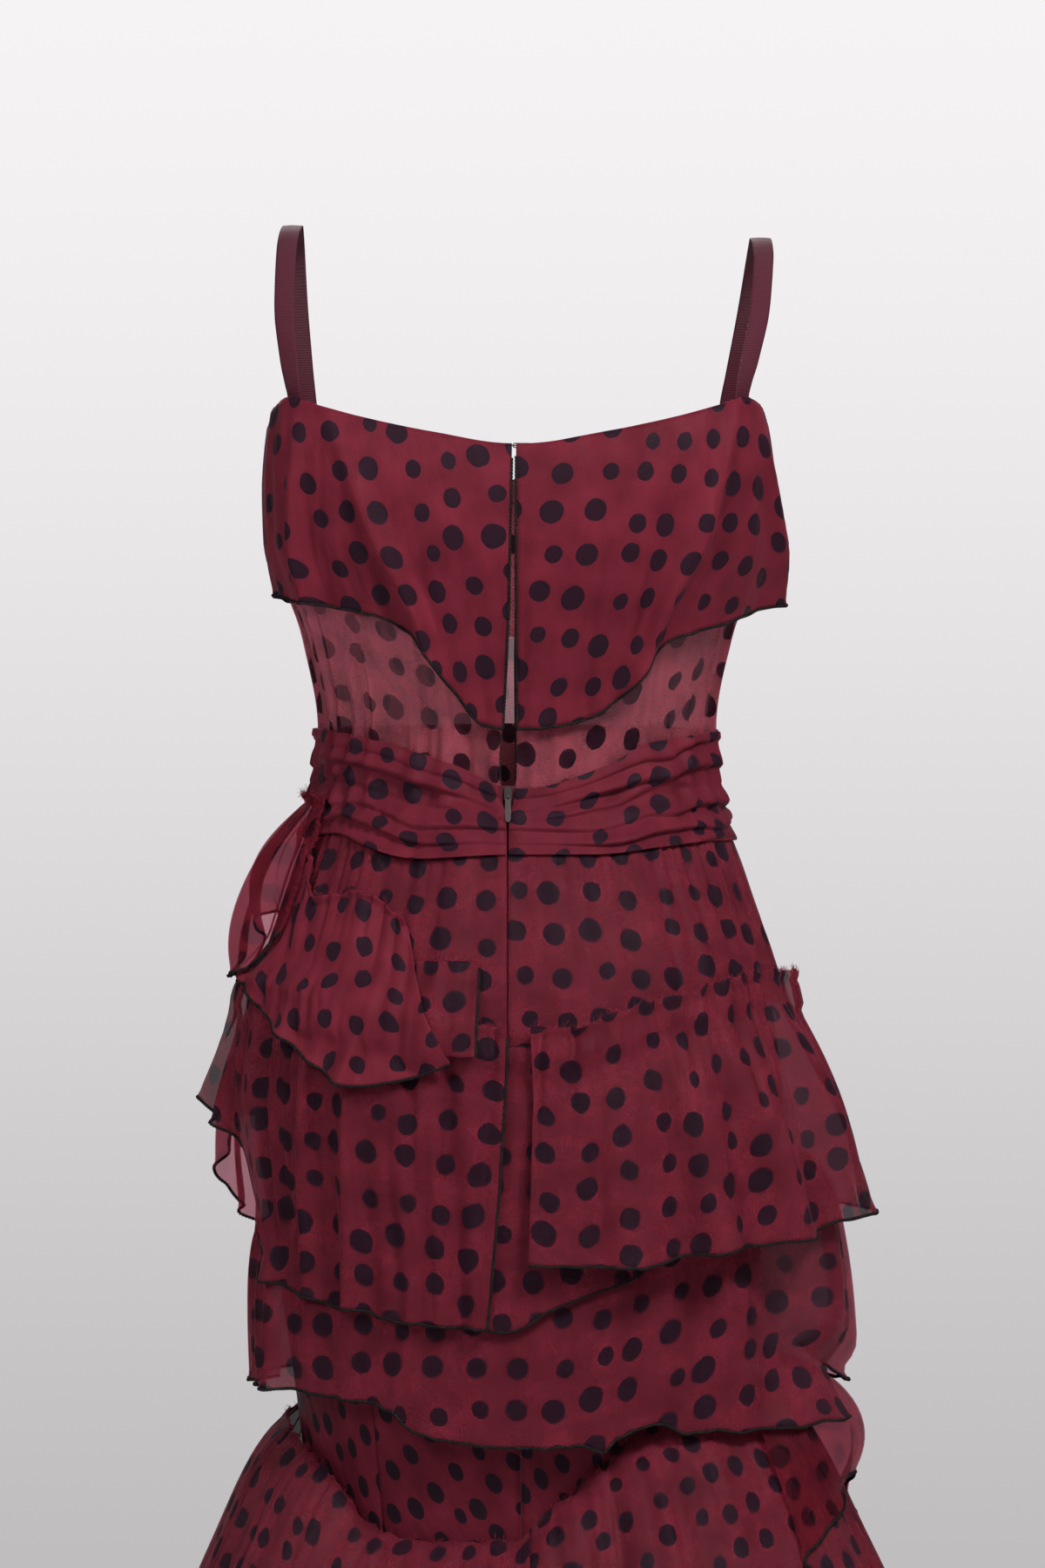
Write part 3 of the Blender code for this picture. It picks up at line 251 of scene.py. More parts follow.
def clearSelection():
    if bpy.context.object and bpy.context.object.mode != "OBJECT":
        bpy.ops.object.mode_set(mode="OBJECT")
    bpy.ops.object.select_all(action="DESELECT")


def gridMesh(name, points, flat, finish, thick):
    # a plane grid laid over the points, with its flat pattern in its UV map, then thickened
    across, down = points.shape[:2]
    clearSelection()
    bpy.ops.mesh.primitive_grid_add(x_subdivisions=across - 1, y_subdivisions=down - 1, size=1)
    sheet = bpy.context.object
    sheet.name = sheet.data.name = name
    places = np.swapaxes(points, 0, 1).reshape(-1, 3)
    patterns = np.swapaxes(flat, 0, 1).reshape(-1, 2)
    sheet.data.vertices.foreach_set("co", places.astype(np.float32).ravel())
    corners = np.zeros(len(sheet.data.loops), np.int32)
    sheet.data.loops.foreach_get("vertex_index", corners)
    layers = sheet.data.uv_layers
    layer = layers[0] if layers else layers.new(name="flat")
    layer.name = "flat"
    layer.data.foreach_set("uv", patterns[corners].astype(np.float32).ravel())
    sheet.data.polygons.foreach_set("use_smooth", np.ones(len(sheet.data.polygons), bool))
    sheet.data.update()
    sheet.data.materials.append(finish)
    thicken = sheet.modifiers.new("Cloth", "SOLIDIFY")
    thicken.thickness, thicken.offset = thick, 0
    bpy.ops.object.modifier_apply(modifier="Cloth")
    return sheet


def tubeMesh(name, paths, radius, finish, sides=5, beat=0.0, swell=0.0):
    # round threads along point paths; beat and swell give the stitches of an overlocked edge
    places, faces, start = [], [], 0
    offAxis = np.array([0.31, 0.22, 0.92])  # a direction that no edge runs along
    for path in paths:
        path = np.asarray(path, float)
        if len(path) < 2:
            continue
        if beat:
            run = runLength(path)
            path = pointAt(np.linspace(0, run[-1], max(int(run[-1] / beat * 2), 2) + 1), run, path)
        ahead = np.gradient(path, axis=0)
        ahead /= np.linalg.norm(ahead, axis=1, keepdims=True) + 1e-12
        side = np.cross(ahead, offAxis)
        side /= np.linalg.norm(side, axis=1, keepdims=True) + 1e-12
        other = np.cross(ahead, side)
        count = len(path)
        thickness = radius * (1 + swell * np.where(np.arange(count) % 2, 1, -1))[:, None]
        bends = [math.tau * n / sides for n in range(sides)]
        rounds = [path + (side * math.cos(b) + other * math.sin(b)) * thickness for b in bends]
        places.append(np.stack(rounds, 1).reshape(-1, 3))
        for k in range(count - 1):
            for n in range(sides):
                m = (n + 1) % sides
                a = start + k * sides
                faces.append((a + n, a + m, a + sides + m, a + sides + n))
        faces.append(tuple(start + n for n in range(sides))[::-1])
        faces.append(tuple(start + (count - 1) * sides + n for n in range(sides)))
        start += count * sides
    data = bpy.data.meshes.new(name)
    data.from_pydata(np.concatenate(places).tolist(), [], faces)
    data.validate()
    data.polygons.foreach_set("use_smooth", np.ones(len(data.polygons), bool))
    data.materials.append(finish)
    thread = bpy.data.objects.new(name, data)
    bpy.context.scene.collection.objects.link(thread)
    return thread


# Finishes
def feed(tree, target, inputs):
    # each socket, by name or number, takes a value or another node's output
    for socket, value in inputs.items():
        if isinstance(value, bpy.types.NodeSocket):
            tree.links.new(value, target.inputs[socket])
        else:
            target.inputs[socket].default_value = value


def newFinish(name, colour, roughness, inputs):
    finish = bpy.data.materials.new(name)
    finish.use_nodes = True
    shader = finish.node_tree.nodes["Principled BSDF"]
    feed(finish.node_tree, shader, {"Base Color": (*colour, 1), "Roughness": roughness, **inputs})
    return finish, finish.node_tree, shader


def node(tree, kind, inputs, **settings):
    added = tree.nodes.new("ShaderNode" + kind)
    for key, value in settings.items():
        setattr(added, key, value)
    feed(tree, added, inputs)
    return added.outputs


def ramp(tree, factor, dark, light, low=0.0, high=1.0):
    added = tree.nodes.new("ShaderNodeValToRGB")
    for stop, place, colour in zip(added.color_ramp.elements, (low, high), (dark, light)):
        stop.position, stop.color = place, (*colour, 1)
    tree.links.new(factor, added.inputs[0])
    return added.outputs[0]


def softStep(tree, value, fromMin, fromMax, toMin=0.0, toMax=1.0):
    return node(tree, "MapRange", {"Value": value, "From Min": fromMin, "From Max": fromMax,
                                   "To Min": toMin, "To Max": toMax},
                interpolation_type="SMOOTHSTEP")["Result"]


def noise(tree, place, scale, detail=2.0, **settings):
    return node(tree, "TexNoise", {"Vector": place, "Scale": scale, "Detail": detail}, **settings)


def relieve(tree, shader, height, strength, distance):
    bump = node(tree, "Bump", {"Height": height, "Strength": strength, "Distance": distance})
    feed(tree, shader, {"Normal": bump[0]})


dottedChiffon = {
    "ground": (0.12, 0.0122, 0.0228),
    "dot": (0.0185, 0.0068, 0.013),
    "spacing": 0.0248,
    "radius": 0.252,
    "radiusChange": 0.052,
    "alpha": 0.74,
    "roughness": 0.5,
    "sheen": 0.04,
    "through": 0.45,
}


def chiffonFinish(name, values):
    finish, tree, shader = newFinish(name, values["ground"], values["roughness"], {
        "Alpha": 1.0 if "tint" in values else values["alpha"], "Sheen Weight": values["sheen"],
        "Sheen Roughness": 0.45, "Sheen Tint": (0.9, 0.35, 0.42, 1), "Specular IOR Level": 0.3,
        "IOR": 1.14, "Subsurface Weight": values["through"],
        "Subsurface Radius": (1.0, 0.16, 0.24), "Subsurface Scale": 0.0012})
    place = node(tree, "TexCoord", {})
    wobble = noise(tree, place["UV"], 180.0, 1.0, noise_dimensions="2D")
    shift = node(tree, "VectorMath", {0: wobble["Color"], "Scale": 0.0009}, operation="SCALE")
    moved = node(tree, "VectorMath", {0: place["UV"], 1: shift[0]}, operation="ADD")
    cells = node(tree, "TexVoronoi", {"Vector": moved[0], "Scale": 1 / values["spacing"],
                                      "Randomness": 0.36}, voronoi_dimensions="2D", feature="F1")
    chance = node(tree, "SeparateColor", {0: cells["Color"]})
    size = node(tree, "Math", {0: chance[0], 1: 2 * values["radiusChange"],
                               2: values["radius"] - values["radiusChange"]},
                operation="MULTIPLY_ADD")
    inside = node(tree, "Math", {0: size[0], 1: cells["Distance"]}, operation="SUBTRACT")
    # uneven dye, from broad clouds to the grain of the weave
    cloud = noise(tree, place["UV"], 38.0, 3.0, noise_dimensions="2D")
    grain = noise(tree, place["UV"], 1400.0, 1.0, noise_dimensions="2D")
    dye = node(tree, "Mix", {0: 0.45, 2: cloud["Fac"], 3: grain["Fac"]}, data_type="FLOAT")
    ground = np.array(values["ground"])
    mixed = node(tree, "Mix", {0: softStep(tree, inside[0], -0.016, 0.016),
                               6: ramp(tree, dye[0], ground * 0.66, ground * 1.34, 0.3, 0.7),
                               7: (*values["dot"], 1)}, data_type="RGBA")
    feed(tree, shader, {"Base Color": mixed[2]})
    # crinkle, drawn out along the fall of the cloth
    stretch = node(tree, "Mapping", {"Vector": place["UV"], "Scale": (1.0, 0.22, 1.0)})
    crinkle = noise(tree, stretch[0], 120.0, 4.0, noise_dimensions="2D")
    relief = node(tree, "Math", {0: grain["Fac"], 1: 0.05, 2: crinkle["Fac"]},
                  operation="MULTIPLY_ADD")
    relieve(tree, shader, relief[0], 0.55, 0.0016)
    if "tint" in values:
        # what shows through the open weave takes the yarn's colour
        cover = values["alpha"]
        if "frontAlpha" in values:
            # the flounces lie double over the front
            where = node(tree, "SeparateXYZ", {0: place["Object"]})
            cover = softStep(tree, where["Y"], -0.115, -0.08, values["frontAlpha"], cover)
        weave = node(tree, "BsdfTransparent", {"Color": (*values["tint"], 1)})
        blend = node(tree, "MixShader", {0: cover, 1: weave[0], 2: shader.outputs[0]})
        feed(tree, tree.nodes["Material Output"], {"Surface": blend[0]})
    return finish


chiffon = chiffonFinish("dottedChiffon", dottedChiffon)
# painted light: the sheer bodice chiffon has a lighter, pinker ground than the same cloth
# elsewhere, standing in for light on its shaded inner faces
sheerChiffonPaintedLight = chiffonFinish("sheerChiffonPaintedLight", {**dottedChiffon, "alpha": 0.54,
                                              "tint": (0.98, 0.8, 0.84),
                                              "ground": (0.25, 0.056, 0.076)})
frillChiffon = chiffonFinish("frillChiffon", {**dottedChiffon, "alpha": 0.34, "frontAlpha": 0.8,
                                              "tint": (0.98, 0.7, 0.76)})
linedSheath = chiffonFinish("linedSheath", {**dottedChiffon, "ground": (0.084, 0.0085, 0.0165),
                                            "dot": (0.0125, 0.0052, 0.009), "alpha": 1.0,
                                            "sheen": 0.0, "through": 0.0})
pleatedSash = chiffonFinish("pleatedSash", {**dottedChiffon, "alpha": 0.92, "through": 0.2,
                                            "ground": (0.104, 0.011, 0.0205)})
doubledChiffon = chiffonFinish("doubledChiffon", {**dottedChiffon, "alpha": 0.9, "through": 0.3})


def ribbedFinish():
    # grosgrain: fine cross ribs, with painted shade in the grooves and painted light on the crests
    # of the ribs, plus random tone from noise
    finish, tree, shader = newFinish("grosgrain", (0.085, 0.014, 0.032), 0.62,
                                     {"Specular IOR Level": 0.3})
    place = node(tree, "TexCoord", {})
    ribs = node(tree, "TexWave", {"Vector": place["UV"], "Scale": 360.0, "Distortion": 0.15},
                wave_type="BANDS", bands_direction="Y")
    ribShadeAndTone = node(tree, "Mix", {0: 0.3, 2: ribs["Fac"], 3: noise(tree, place["UV"], 900.0)["Fac"]},
                data_type="FLOAT")
    feed(tree, shader, {"Base Color": ramp(tree, ribShadeAndTone[0], (0.044, 0.005, 0.012),
                                           (0.1, 0.011, 0.027))})
    relieve(tree, shader, ribs["Fac"], 0.8, 0.0006)
    return finish


def threadFinish(name, dark, light, scale):
    finish, tree, shader = newFinish(name, dark, 0.8, {"Specular IOR Level": 0.2, "IOR": 1.12})
    fibre = noise(tree, node(tree, "TexCoord", {})["Object"], scale)
    feed(tree, shader, {"Base Color": ramp(tree, fibre["Fac"], dark, light, 0.42, 0.66)})
    return finish


def metalFinish():
    finish, tree, shader = newFinish("nickelPaintedReflection", (0.62, 0.6, 0.58), 0.28, {"Metallic": 1.0})
    rub = noise(tree, node(tree, "TexCoord", {})["Object"], 900.0, 3.0)["Fac"]
    wear = node(tree, "MapRange", {"Value": rub, "To Min": 0.18, "To Max": 0.24})
    # painted reflection: the base colour is darkened and tinted with the gown's red, standing in
    # for the red gown mirrored in the metal; the rub noise mottles it with random wear
    feed(tree, shader, {"Roughness": wear["Result"],
                        "Base Color": ramp(tree, rub, (0.13, 0.105, 0.105), (0.19, 0.15, 0.15))})
    return finish


grosgrain = ribbedFinish()
overlock = threadFinish("overlockThread", (0.0025, 0.0022, 0.0022), (0.03, 0.026, 0.026), 1500.0)
rawThread = threadFinish("rawThread", (0.14, 0.012, 0.026), (0.26, 0.03, 0.055), 900.0)
nickelPaintedReflection = metalFinish()
print("finishes made")

sheathAll = ("sheath_back_left", "sheath_side_left", "sheath_front", "sheath_side_right",
             "sheath_back_right")
lowerAll = ("lower_flounce_left", "lower_flounce_front", "lower_flounce_right")
skirtAll = ("overskirt_back_left", "overskirt_front", "overskirt_back_right")
bodiceAll = ("bodice_back_left", "bodice_front", "bodice_back_right")
sashAll = ("sash_back_left", "sash_front", "sash_back_right")
tier1Back = ("tier1_centre", "tier1_left", "tier1_right")


sheetDefaults = {
    "thick": 0.0005, "spread": 1.0, "reach": 0.19, "columnWidth": 0.0022, "rowHeight": 0.005,
    "turnReach": 12.0, "folds": (), "hemWave": 0.0, "blouse": 0.0, "tuck": 0.0, "rest": 0.002,
    "over": (), "gathers": (), "pleats": (), "header": 0.0, "headerRise": 0.0024, "curl": 0.001,
    "cutRow": 0.85, "flare": 0.35, "grain": 0, "bias": 1.0, "finish": chiffon, "slot": "chiffon",
    "bound": (), "bead": 0.00095, "frayed": None, "held": "gathered", "restsOn": (),
}
rowBunch = 0.07  # rows are drawn towards the seam and the hem
restTop, restRun = 0.0006, 0.35  # the gap at the seam, and how far down it opens to its rest
contact = 0.0022  # how softly a sheet comes to lie on the one beneath
tuckFrom, tuckRun = 0.82, 0.18
curlFrom, curlRun = 0.94, 0.06
stitching = {"width": 0.0016, "dip": 0.0009, "ruffle": 0.0016}
stitchBeat, stitchSwell = 0.0021, 0.3


def makeSheet(name, values):
    values = {**sheetDefaults, **values}
    start, end, thick = values["start"], values["end"], values["thick"]
    across = max(int(np.radians(end - start) * values["reach"] / values["columnWidth"]), 8)
    middle = np.array([(start + end) / 2.0])
    length = abs(float(np.mean(heightOf(values["hem"], middle) - heightOf(values["top"], middle))))
    down = max(int(length / values["rowHeight"]), 6)
    base = np.linspace(start, end, across + 1)[:, None]
    t = np.linspace(0, 1, down + 1)[None, :]
    v = t - rowBunch * np.sin(math.tau * t)
    angle = base + 0 * v
    reach = min(values["turnReach"], end - start)
    for key, edge, side in (("startLine", 0, 1), ("endLine", -1, -1)):
        if key in values:
            x = np.interp(v[0], [gap[0] for gap in values[key]], [gap[1] for gap in values[key]])
            top, hem = heightOf(values["top"], base[edge]), heightOf(values["hem"], base[edge])
            goal = turn(x, top + (hem - top) * v[0]) - base[edge]
            angle = angle + np.clip(1 - side * (base - base[edge]) / reach, 0, 1) * goal[None, :]
    plain = angle
    for fold in values["folds"]:
        angle = angle + foldTurn(fold, plain, v)
    top, hem = heightOf(values["top"], plain), heightOf(values["hem"], plain)
    ripple = values["hemWave"]
    if ripple:
        hem = hem + ripple * (wander(plain, 60, 5) + 0.6 * wander(plain, 150, 6))
    height = top + (hem - top) * v
    easeTop, easeHem = along(values["ease"], plain, 1), along(values["ease"], plain, 2)
    ease = (easeTop + (easeHem - easeTop) * v ** values["spread"]
            + sizeAt(values["blouse"], plain) * 4 * v * (1 - v)
            - sizeAt(values["tuck"], plain) * np.clip((v - tuckFrom) / tuckRun, 0, 1) ** 2)
    for fold in values["folds"]:
        ease = ease + foldRise(fold, plain, v)
    gap = restTop + (values["rest"] - restTop) * np.clip(v / restRun, 0, 1) + thick
    under = floorUnder(values["over"], angle, height) + gap
    free = ease - under
    ease = under + (free + np.sqrt(free ** 2 + contact ** 2)) / 2
    ease = ease + gatherRise(plain, v + 0 * plain, values["gathers"])
    if values["pleats"]:
        ease = ease + pleatRise(plain, v, values["pleats"])
    header = values["header"]
    if header:
        # the raw edge above the gathering stitches stands off the seam
        above = np.clip(1 - (top - height) / header, 0, 1)
        seamDip = np.exp(-((top - height - header) / stitching["width"]) ** 2)
        frill = 0.5 + 0.5 * wander(plain, 170, 31) + 0.35 * wander(plain, 60, 32)
        ease = (ease + values["headerRise"] * above * np.clip(frill, 0, 1.4)
                - stitching["dip"] * seamDip)
        height = height + stitching["ruffle"] * above * wander(plain, 140, 33)
    ease = ease + values["curl"] * np.clip((v - curlFrom) / curlRun, 0, 1) ** 2
    foot, outward = ring(angle, height)
    points = foot + outward * ease[..., None]
    fillChart(name, angle, height, ease + thick / 2)
    # the flat pattern: true lengths down each column and along one row
    flatX = runLength(points[:, int(values["cutRow"] * down)])
    flatY = runLength(points, 1)
    rowX = runLength(points)
    rowX = rowX - rowX[-1] / 2 + flatX[-1] / 2
    flare = values["flare"]
    flat = np.stack([flatX[:, None] * (1 - flare) + rowX * flare, -flatY], -1)
    spin = math.radians(values["grain"])
    shift = np.random.default_rng(sum(map(ord, name))).uniform(0, 3, 2)
    turned = np.stack([flat[..., 0] * math.cos(spin) - flat[..., 1] * math.sin(spin),
                       flat[..., 0] * math.sin(spin) + flat[..., 1] * math.cos(spin)], -1)
    turned = turned * (values["bias"], 1.0) + shift
    sheet = gridMesh(name + "_cloth", points, turned, values["finish"], thick)
    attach(sheet, "root")
    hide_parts(name)
    trims, paths = [], []
    loose = values.get("loose", (end, end))
    for edge in values["bound"]:
        if edge == "hem":
            rims = [points[base[:, 0] <= loose[0], -1], points[base[:, 0] > loose[1], -1]]
            paths += [rim for rim in rims if len(rim) > 2]
        else:
            paths.append(points[0 if edge == "start" else -1, 2:])
    if paths:
        thread = tubeMesh(name + "_overlock", paths, values["bead"], overlock, 5, stitchBeat,
                          stitchSwell)
        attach(thread, "root")
        trims.append(thread)
    if values["frayed"]:
        trims.append(frayMesh(name, points, outward, values["frayed"]))
    return points


def pleatRise(angle, v, pleats):
    # soft folds laid along the sash, closing up towards the zip
    closing = 0.3 + 0.7 * np.clip(np.abs(angle) / 25, 0, 1)
    rise = 0 * angle
    for k, (centre, width, size) in enumerate(pleats):
        line = centre + 0.055 * wander(angle, 17, 50 + k) + 0.02 * wander(angle, 40, 70 + k)
        away = (v - line) / width
        crest = np.where(away < 0, np.clip(1 + away, 0, 1), np.clip(1 - away * 4.0, 0, 1))
        crest = crest * crest * (3 - 2 * crest)
        fade = np.clip(0.8 + 0.7 * wander(angle, 13, 90 + k), 0.15, 1.3)
        rise = np.maximum(rise, crest * size * fade)
    return rise * closing


yarnRadius = 0.0001


def frayMesh(name, points, outward, values):
    # loose yarns standing out of a raw edge
    chance = np.random.default_rng(values["seed"])
    paths = []
    rims = {"top": (points[:, 0], outward[:, 0]), "start": (points[0], outward[0]),
            "end": (points[-1], outward[-1])}
    for edgePoints, ways in [rims[edge] for edge in values["edges"]]:
        run = runLength(edgePoints)
        count = int(run[-1] / values["every"])
        for at in np.sort(chance.uniform(0, run[-1], count)):
            foot, out = pointAt(at, run, edgePoints), pointAt(at, run, ways)
            way = (np.array([0, 0, 1.0]) + out * chance.uniform(-0.2, 1.1)
                   + chance.normal(0, 0.45, 3))
            way /= np.linalg.norm(way)
            reach = values["long"] * chance.uniform(0.35, 1.25)
            bend = chance.normal(0, 0.35, 3) * reach
            paths.append([foot - way * 0.0006, foot + way * reach * 0.5 + bend * 0.3,
                          foot + way * reach + bend])
    yarns = tubeMesh(name + "_fray", paths, yarnRadius, rawThread, 3)
    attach(yarns, "root")
    return yarns


# The camera stands where the photograph was taken from
cameraData = bpy.data.cameras.new("camera")
cameraData.lens, cameraData.sensor_width, cameraData.sensor_fit = 135, 36, "AUTO"
camera = bpy.data.objects.new("camera", cameraData)
camera.location = (-0.0026, 3.56, -0.338)
camera.rotation_euler = (math.pi / 2, 0, math.pi)
bpy.context.scene.collection.objects.link(camera)
bpy.context.scene.camera = camera

# Fitted under-skirt
sheath = {
    "top": waistSeam, "hem": (lowerSeam, -0.015),
    "ease": [(-180, 0.003, 0.003), (180, 0.003, 0.003), (360, 0.003, 0.003)],
    "columnWidth": 0.0045, "rowHeight": 0.009, "cutRow": 0.5, "held": "stretched",
    "finish": linedSheath, "slot": "sheath", "curl": 0.0, "thick": 0.0007,
    "gathers": [(14, 0.0004, 0.0006, 0.0006, 1.0, 301)], "bias": 1.45,
}
makeSheet("sheath_back_left", {**sheath, "start": -1, "end": 36.95, "grain": 38,
    "startLine": [(0, zipX + 0.0009), (0.3, zipX + 0.0009), (0.36, 0.0001), (1, -0.0019)]})
makeSheet("sheath_side_left", {**sheath, "start": 37.05, "end": 109.95, "grain": 22})
makeSheet("sheath_front", {**sheath, "start": 110.05, "end": 249.95, "grain": -30})
makeSheet("sheath_side_right", {**sheath, "start": -109.95, "end": -37.05, "grain": -28})
makeSheet("sheath_back_right", {**sheath, "start": -36.95, "end": -1, "grain": 42,
    "endLine": [(0, zipX - 0.0009), (0.3, zipX - 0.0009), (0.36, -0.0001), (1, -0.0021)]})

# Lower flounce, from its raw gathered top to the floor
lowerFlounce = {
    "top": (lowerSeam, 0.006), "hem": -1.3,
    "ease": [(-98, 0.0, 0.235), (-60, 0.0, 0.23), (0, 0.0, 0.165), (60, 0.0, 0.175),
        (100, 0.0, 0.18), (180, 0.0, 0.17), (262, 0.0, 0.235)],
    "folds": evenFolds(-2, 100, 6, 0.001, 0.022, 11) + evenFolds(100, 262, 8, 0.001, 0.02, 12)
    + evenFolds(-98, -2, 6, 0.001, 0.022, 13),
    "over": sheathAll, "spread": 0.58, "header": 0.006, "rowHeight": 0.0085, "flare": 0.8,
    "columnWidth": 0.0022, "bound": ("hem",), "hemWave": 0.0015, "restsOn": ("sheath_back_left",),
    "gathers": [(120, 0.0022, 0.001, 0.0, -2.4, 311), (54, 0.0026, 0.005, 0.004, -1.6, 312),
        (26, 0.0, 0.006, 0.011, 1.1, 313)],
    "frayed": {"edges": ("top",), "every": 0.0014, "long": 0.0026, "seed": 4},
}
makeSheet("lower_flounce_left", {**lowerFlounce, "start": -2, "end": 100})
makeSheet("lower_flounce_front", {**lowerFlounce, "start": 100, "end": 262, "columnWidth": 0.003})
makeSheet("lower_flounce_right", {**lowerFlounce, "start": -98, "end": -2})

# Third tier, at the front right
makeSheet("tier3_front", {
    "start": 200, "end": 306,
    "top": [(198, -0.7), (225, -0.685), (279, -0.68), (307, -0.688)],
    "hem": [(198, -0.83), (225, -0.815), (250, -0.795), (264, -0.768), (274, -0.752),
        (284, -0.754), (295, -0.774), (307, -0.798)],
    "ease": [(200, 0.0, 0.05), (235, 0.0, 0.072), (264, 0.0, 0.074), (274, 0.0, 0.072),
        (284, 0.0, 0.072), (295, 0.0, 0.066), (306, 0.0, 0.05)],
    "blouse": [(200, 0.0), (240, 0.004), (262, 0.014), (306, 0.016)],
    "spread": 0.33, "folds": evenFolds(205, 302, 5, 0.001, 0.007, 14, bulge=0.3),
    "over": sheathAll + lowerAll,
    "bound": ("hem", "start"), "finish": frillChiffon,
    "gathers": [(60, 0.001, 0.0016, 0.0008, 1.3, 321)],
    "hemWave": 0.001,
})

# Second tier
makeSheet("tier2_front", {
    "start": 78, "end": 292, "spread": 0.35,
    "top": [(78, -0.6), (225, -0.6), (250, -0.56), (281, -0.556)],
    "hem": [(78, -0.694), (88, -0.6985), (262, -0.699), (276, -0.696), (286, -0.682),
        (292, -0.67)],
    "ease": [(78, 0.0, 0.012), (88, 0.0, 0.03), (140, 0.0, 0.03), (200, 0.0, 0.034),
        (245, 0.0, 0.058), (268, 0.0, 0.074), (280, 0.0, 0.072), (292, 0.0, 0.062)],
    "tuck": [(78, 0.0), (225, 0.0), (250, 0.01), (268, 0.018), (292, 0.022)],
    "over": sheathAll + lowerAll + ("tier3_front",), "finish": frillChiffon,
    "folds": evenFolds(95, 270, 8, 0.001, 0.007, 15, bulge=0.2), "columnWidth": 0.003,
    "gathers": [(90, 0.001, 0.0008, 0.0004, 1.3, 331), (34, 0.0008, 0.0026, 0.0016, 1.3, 332)],
    "bound": ("hem",), "hemWave": 0.0008,
})
makeSheet("tier2_back", {
    "start": -74, "end": 82, "spread": 0.5,
    "top": [(-86, -0.565), (-60, -0.568), (0, -0.6), (86, -0.6)],
    "hem": [(-86, -0.711), (-54.4, -0.7176), (-37, -0.7186), (-29, -0.714), (-20, -0.72),
        (-16.3, -0.728), (-12.6, -0.7254), (-3, -0.727), (7.7, -0.7254), (20, -0.7176),
        (28, -0.7046), (34.7, -0.701), (52, -0.697), (86, -0.697)],
    "ease": [(-85, 0.0, 0.052), (-74, 0.0, 0.05), (-55, 0.0, 0.043), (-20, 0.0, 0.026),
        (0, 0.0, 0.022), (30, 0.0, 0.02), (60, 0.0, 0.024), (85, 0.0, 0.028)],
    "over": sheathAll + lowerAll + ("tier3_front", "tier2_front"),
    "folds": [(-17.5, -16, 5, 4, 0.002, 0.009), (-48, -50, 9, 12, 0.001, 0.006),
        (24, 22, 8, 7, 0.001, 0.006), (60, 64, 12, 9, 0.001, 0.006)],
    "gathers": [(90, 0.0022, 0.0016, 0.0004, -2.2, 331), (34, 0.003, 0.006, 0.0056, 1.6, 332)],
    "bound": ("hem",), "hemWave": 0.0012,
})

# Bodice, bloused into the waist
bodice = {
    "top": neckline, "hem": waistSeam, "blouse": 0.004, "columnWidth": 0.002, "cutRow": 0.35,
    "reach": 0.13, "curl": 0.0, "finish": sheerChiffonPaintedLight,
    "gathers": [(96, 0.0, 0.001, 0.003, -2.2, 341), (44, 0.0, 0.002, 0.0064, 1.8, 342)],
}
makeSheet("bodice_back_left", {**bodice, "start": 1.2, "end": 87.97,
    "ease": [(0, 0.003, 0.003), (88, 0.003, 0.003)],
    "bound": ("start", "end"), "bead": 0.0006,
    "startLine": [(0, 0.0052), (0.6, 0.0065), (0.86, 0.0104), (0.93, 0.0104),
        (1, zipX + 0.0012)]})
makeSheet("bodice_front", {**bodice, "start": 88.03, "end": 271.97, "columnWidth": 0.003,
    "ease": [(88, 0.003, 0.003), (272, 0.003, 0.003)]})
makeSheet("bodice_back_right", {**bodice, "start": -87.97, "end": -0.5,
    "ease": [(-88, 0.003, 0.003), (0, 0.003, 0.003)],
    "bound": ("end", "end"), "bead": 0.0006,
    "endLine": [(0, -0.001), (0.6, 0.002), (0.86, 0.0014), (0.93, 0.0014),
        (1, zipX - 0.0012)]})
print("bodice made")

# Zip tape, under the sash and the overskirt
tape = makeSheet("zip_tape", {
    "start": 0.5, "end": 2.9, "top": -0.339, "hem": -0.49,
    "ease": [(-10, 0.0, 0.0), (10, 0.0, 0.0)],
    "over": ("bodice_back_left", "bodice_back_right", "sheath_back_left", "sheath_back_right"),
    "rest": 0.0005, "thick": 0.0006, "columnWidth": 0.0006, "rowHeight": 0.004, "curl": 0.0,
    "startLine": [(0, zipX - 0.004), (1, zipX - 0.004)],
    "endLine": [(0, zipX + 0.004), (1, zipX + 0.004)], "finish": grosgrain, "slot": "tape",
    "held": "stretched",
})

# Overskirt from the waist to the first tier
overskirt = {
    "top": -0.353, "hem": (tier1Seam, -0.013), "spread": 0.7, "curl": 0.0, "columnWidth": 0.0022,
    "folds": evenFolds(4, 88, 5, 0.0004, 0.003, 16) + evenFolds(92, 268, 8, 0.0004, 0.003, 17)
    + evenFolds(-88, -4, 5, 0.0004, 0.003, 18),
    "gathers": [(84, 0.0034, 0.0008, 0.0, -2.6, 351), (46, 0.0016, 0.0026, 0.001, -3.0, 353),
        (22, 0.001, 0.0036, 0.0034, 1.4, 352)],
    "ease": [(-88, 0.0, 0.007), (-40, 0.0, 0.006), (0, 0.0, 0.007), (40, 0.0, 0.006),
        (88, 0.0, 0.003), (180, 0.0, 0.008), (272, 0.0, 0.007)],
}
makeSheet("overskirt_back_left", {**overskirt, "start": 1.2, "end": 87.95,
    "over": sheathAll + ("zip_tape",),
    "startLine": [(0, zipX + 0.0004), (1, zipX + 0.0003)]})
makeSheet("overskirt_front", {**overskirt, "start": 88.05, "end": 271.95, "over": sheathAll,
    "columnWidth": 0.003})
makeSheet("overskirt_back_right", {**overskirt, "start": -87.95, "end": 0.5,
    "over": sheathAll + ("zip_tape",),
    "endLine": [(0, zipX - 0.0004), (1, zipX - 0.0003)]})

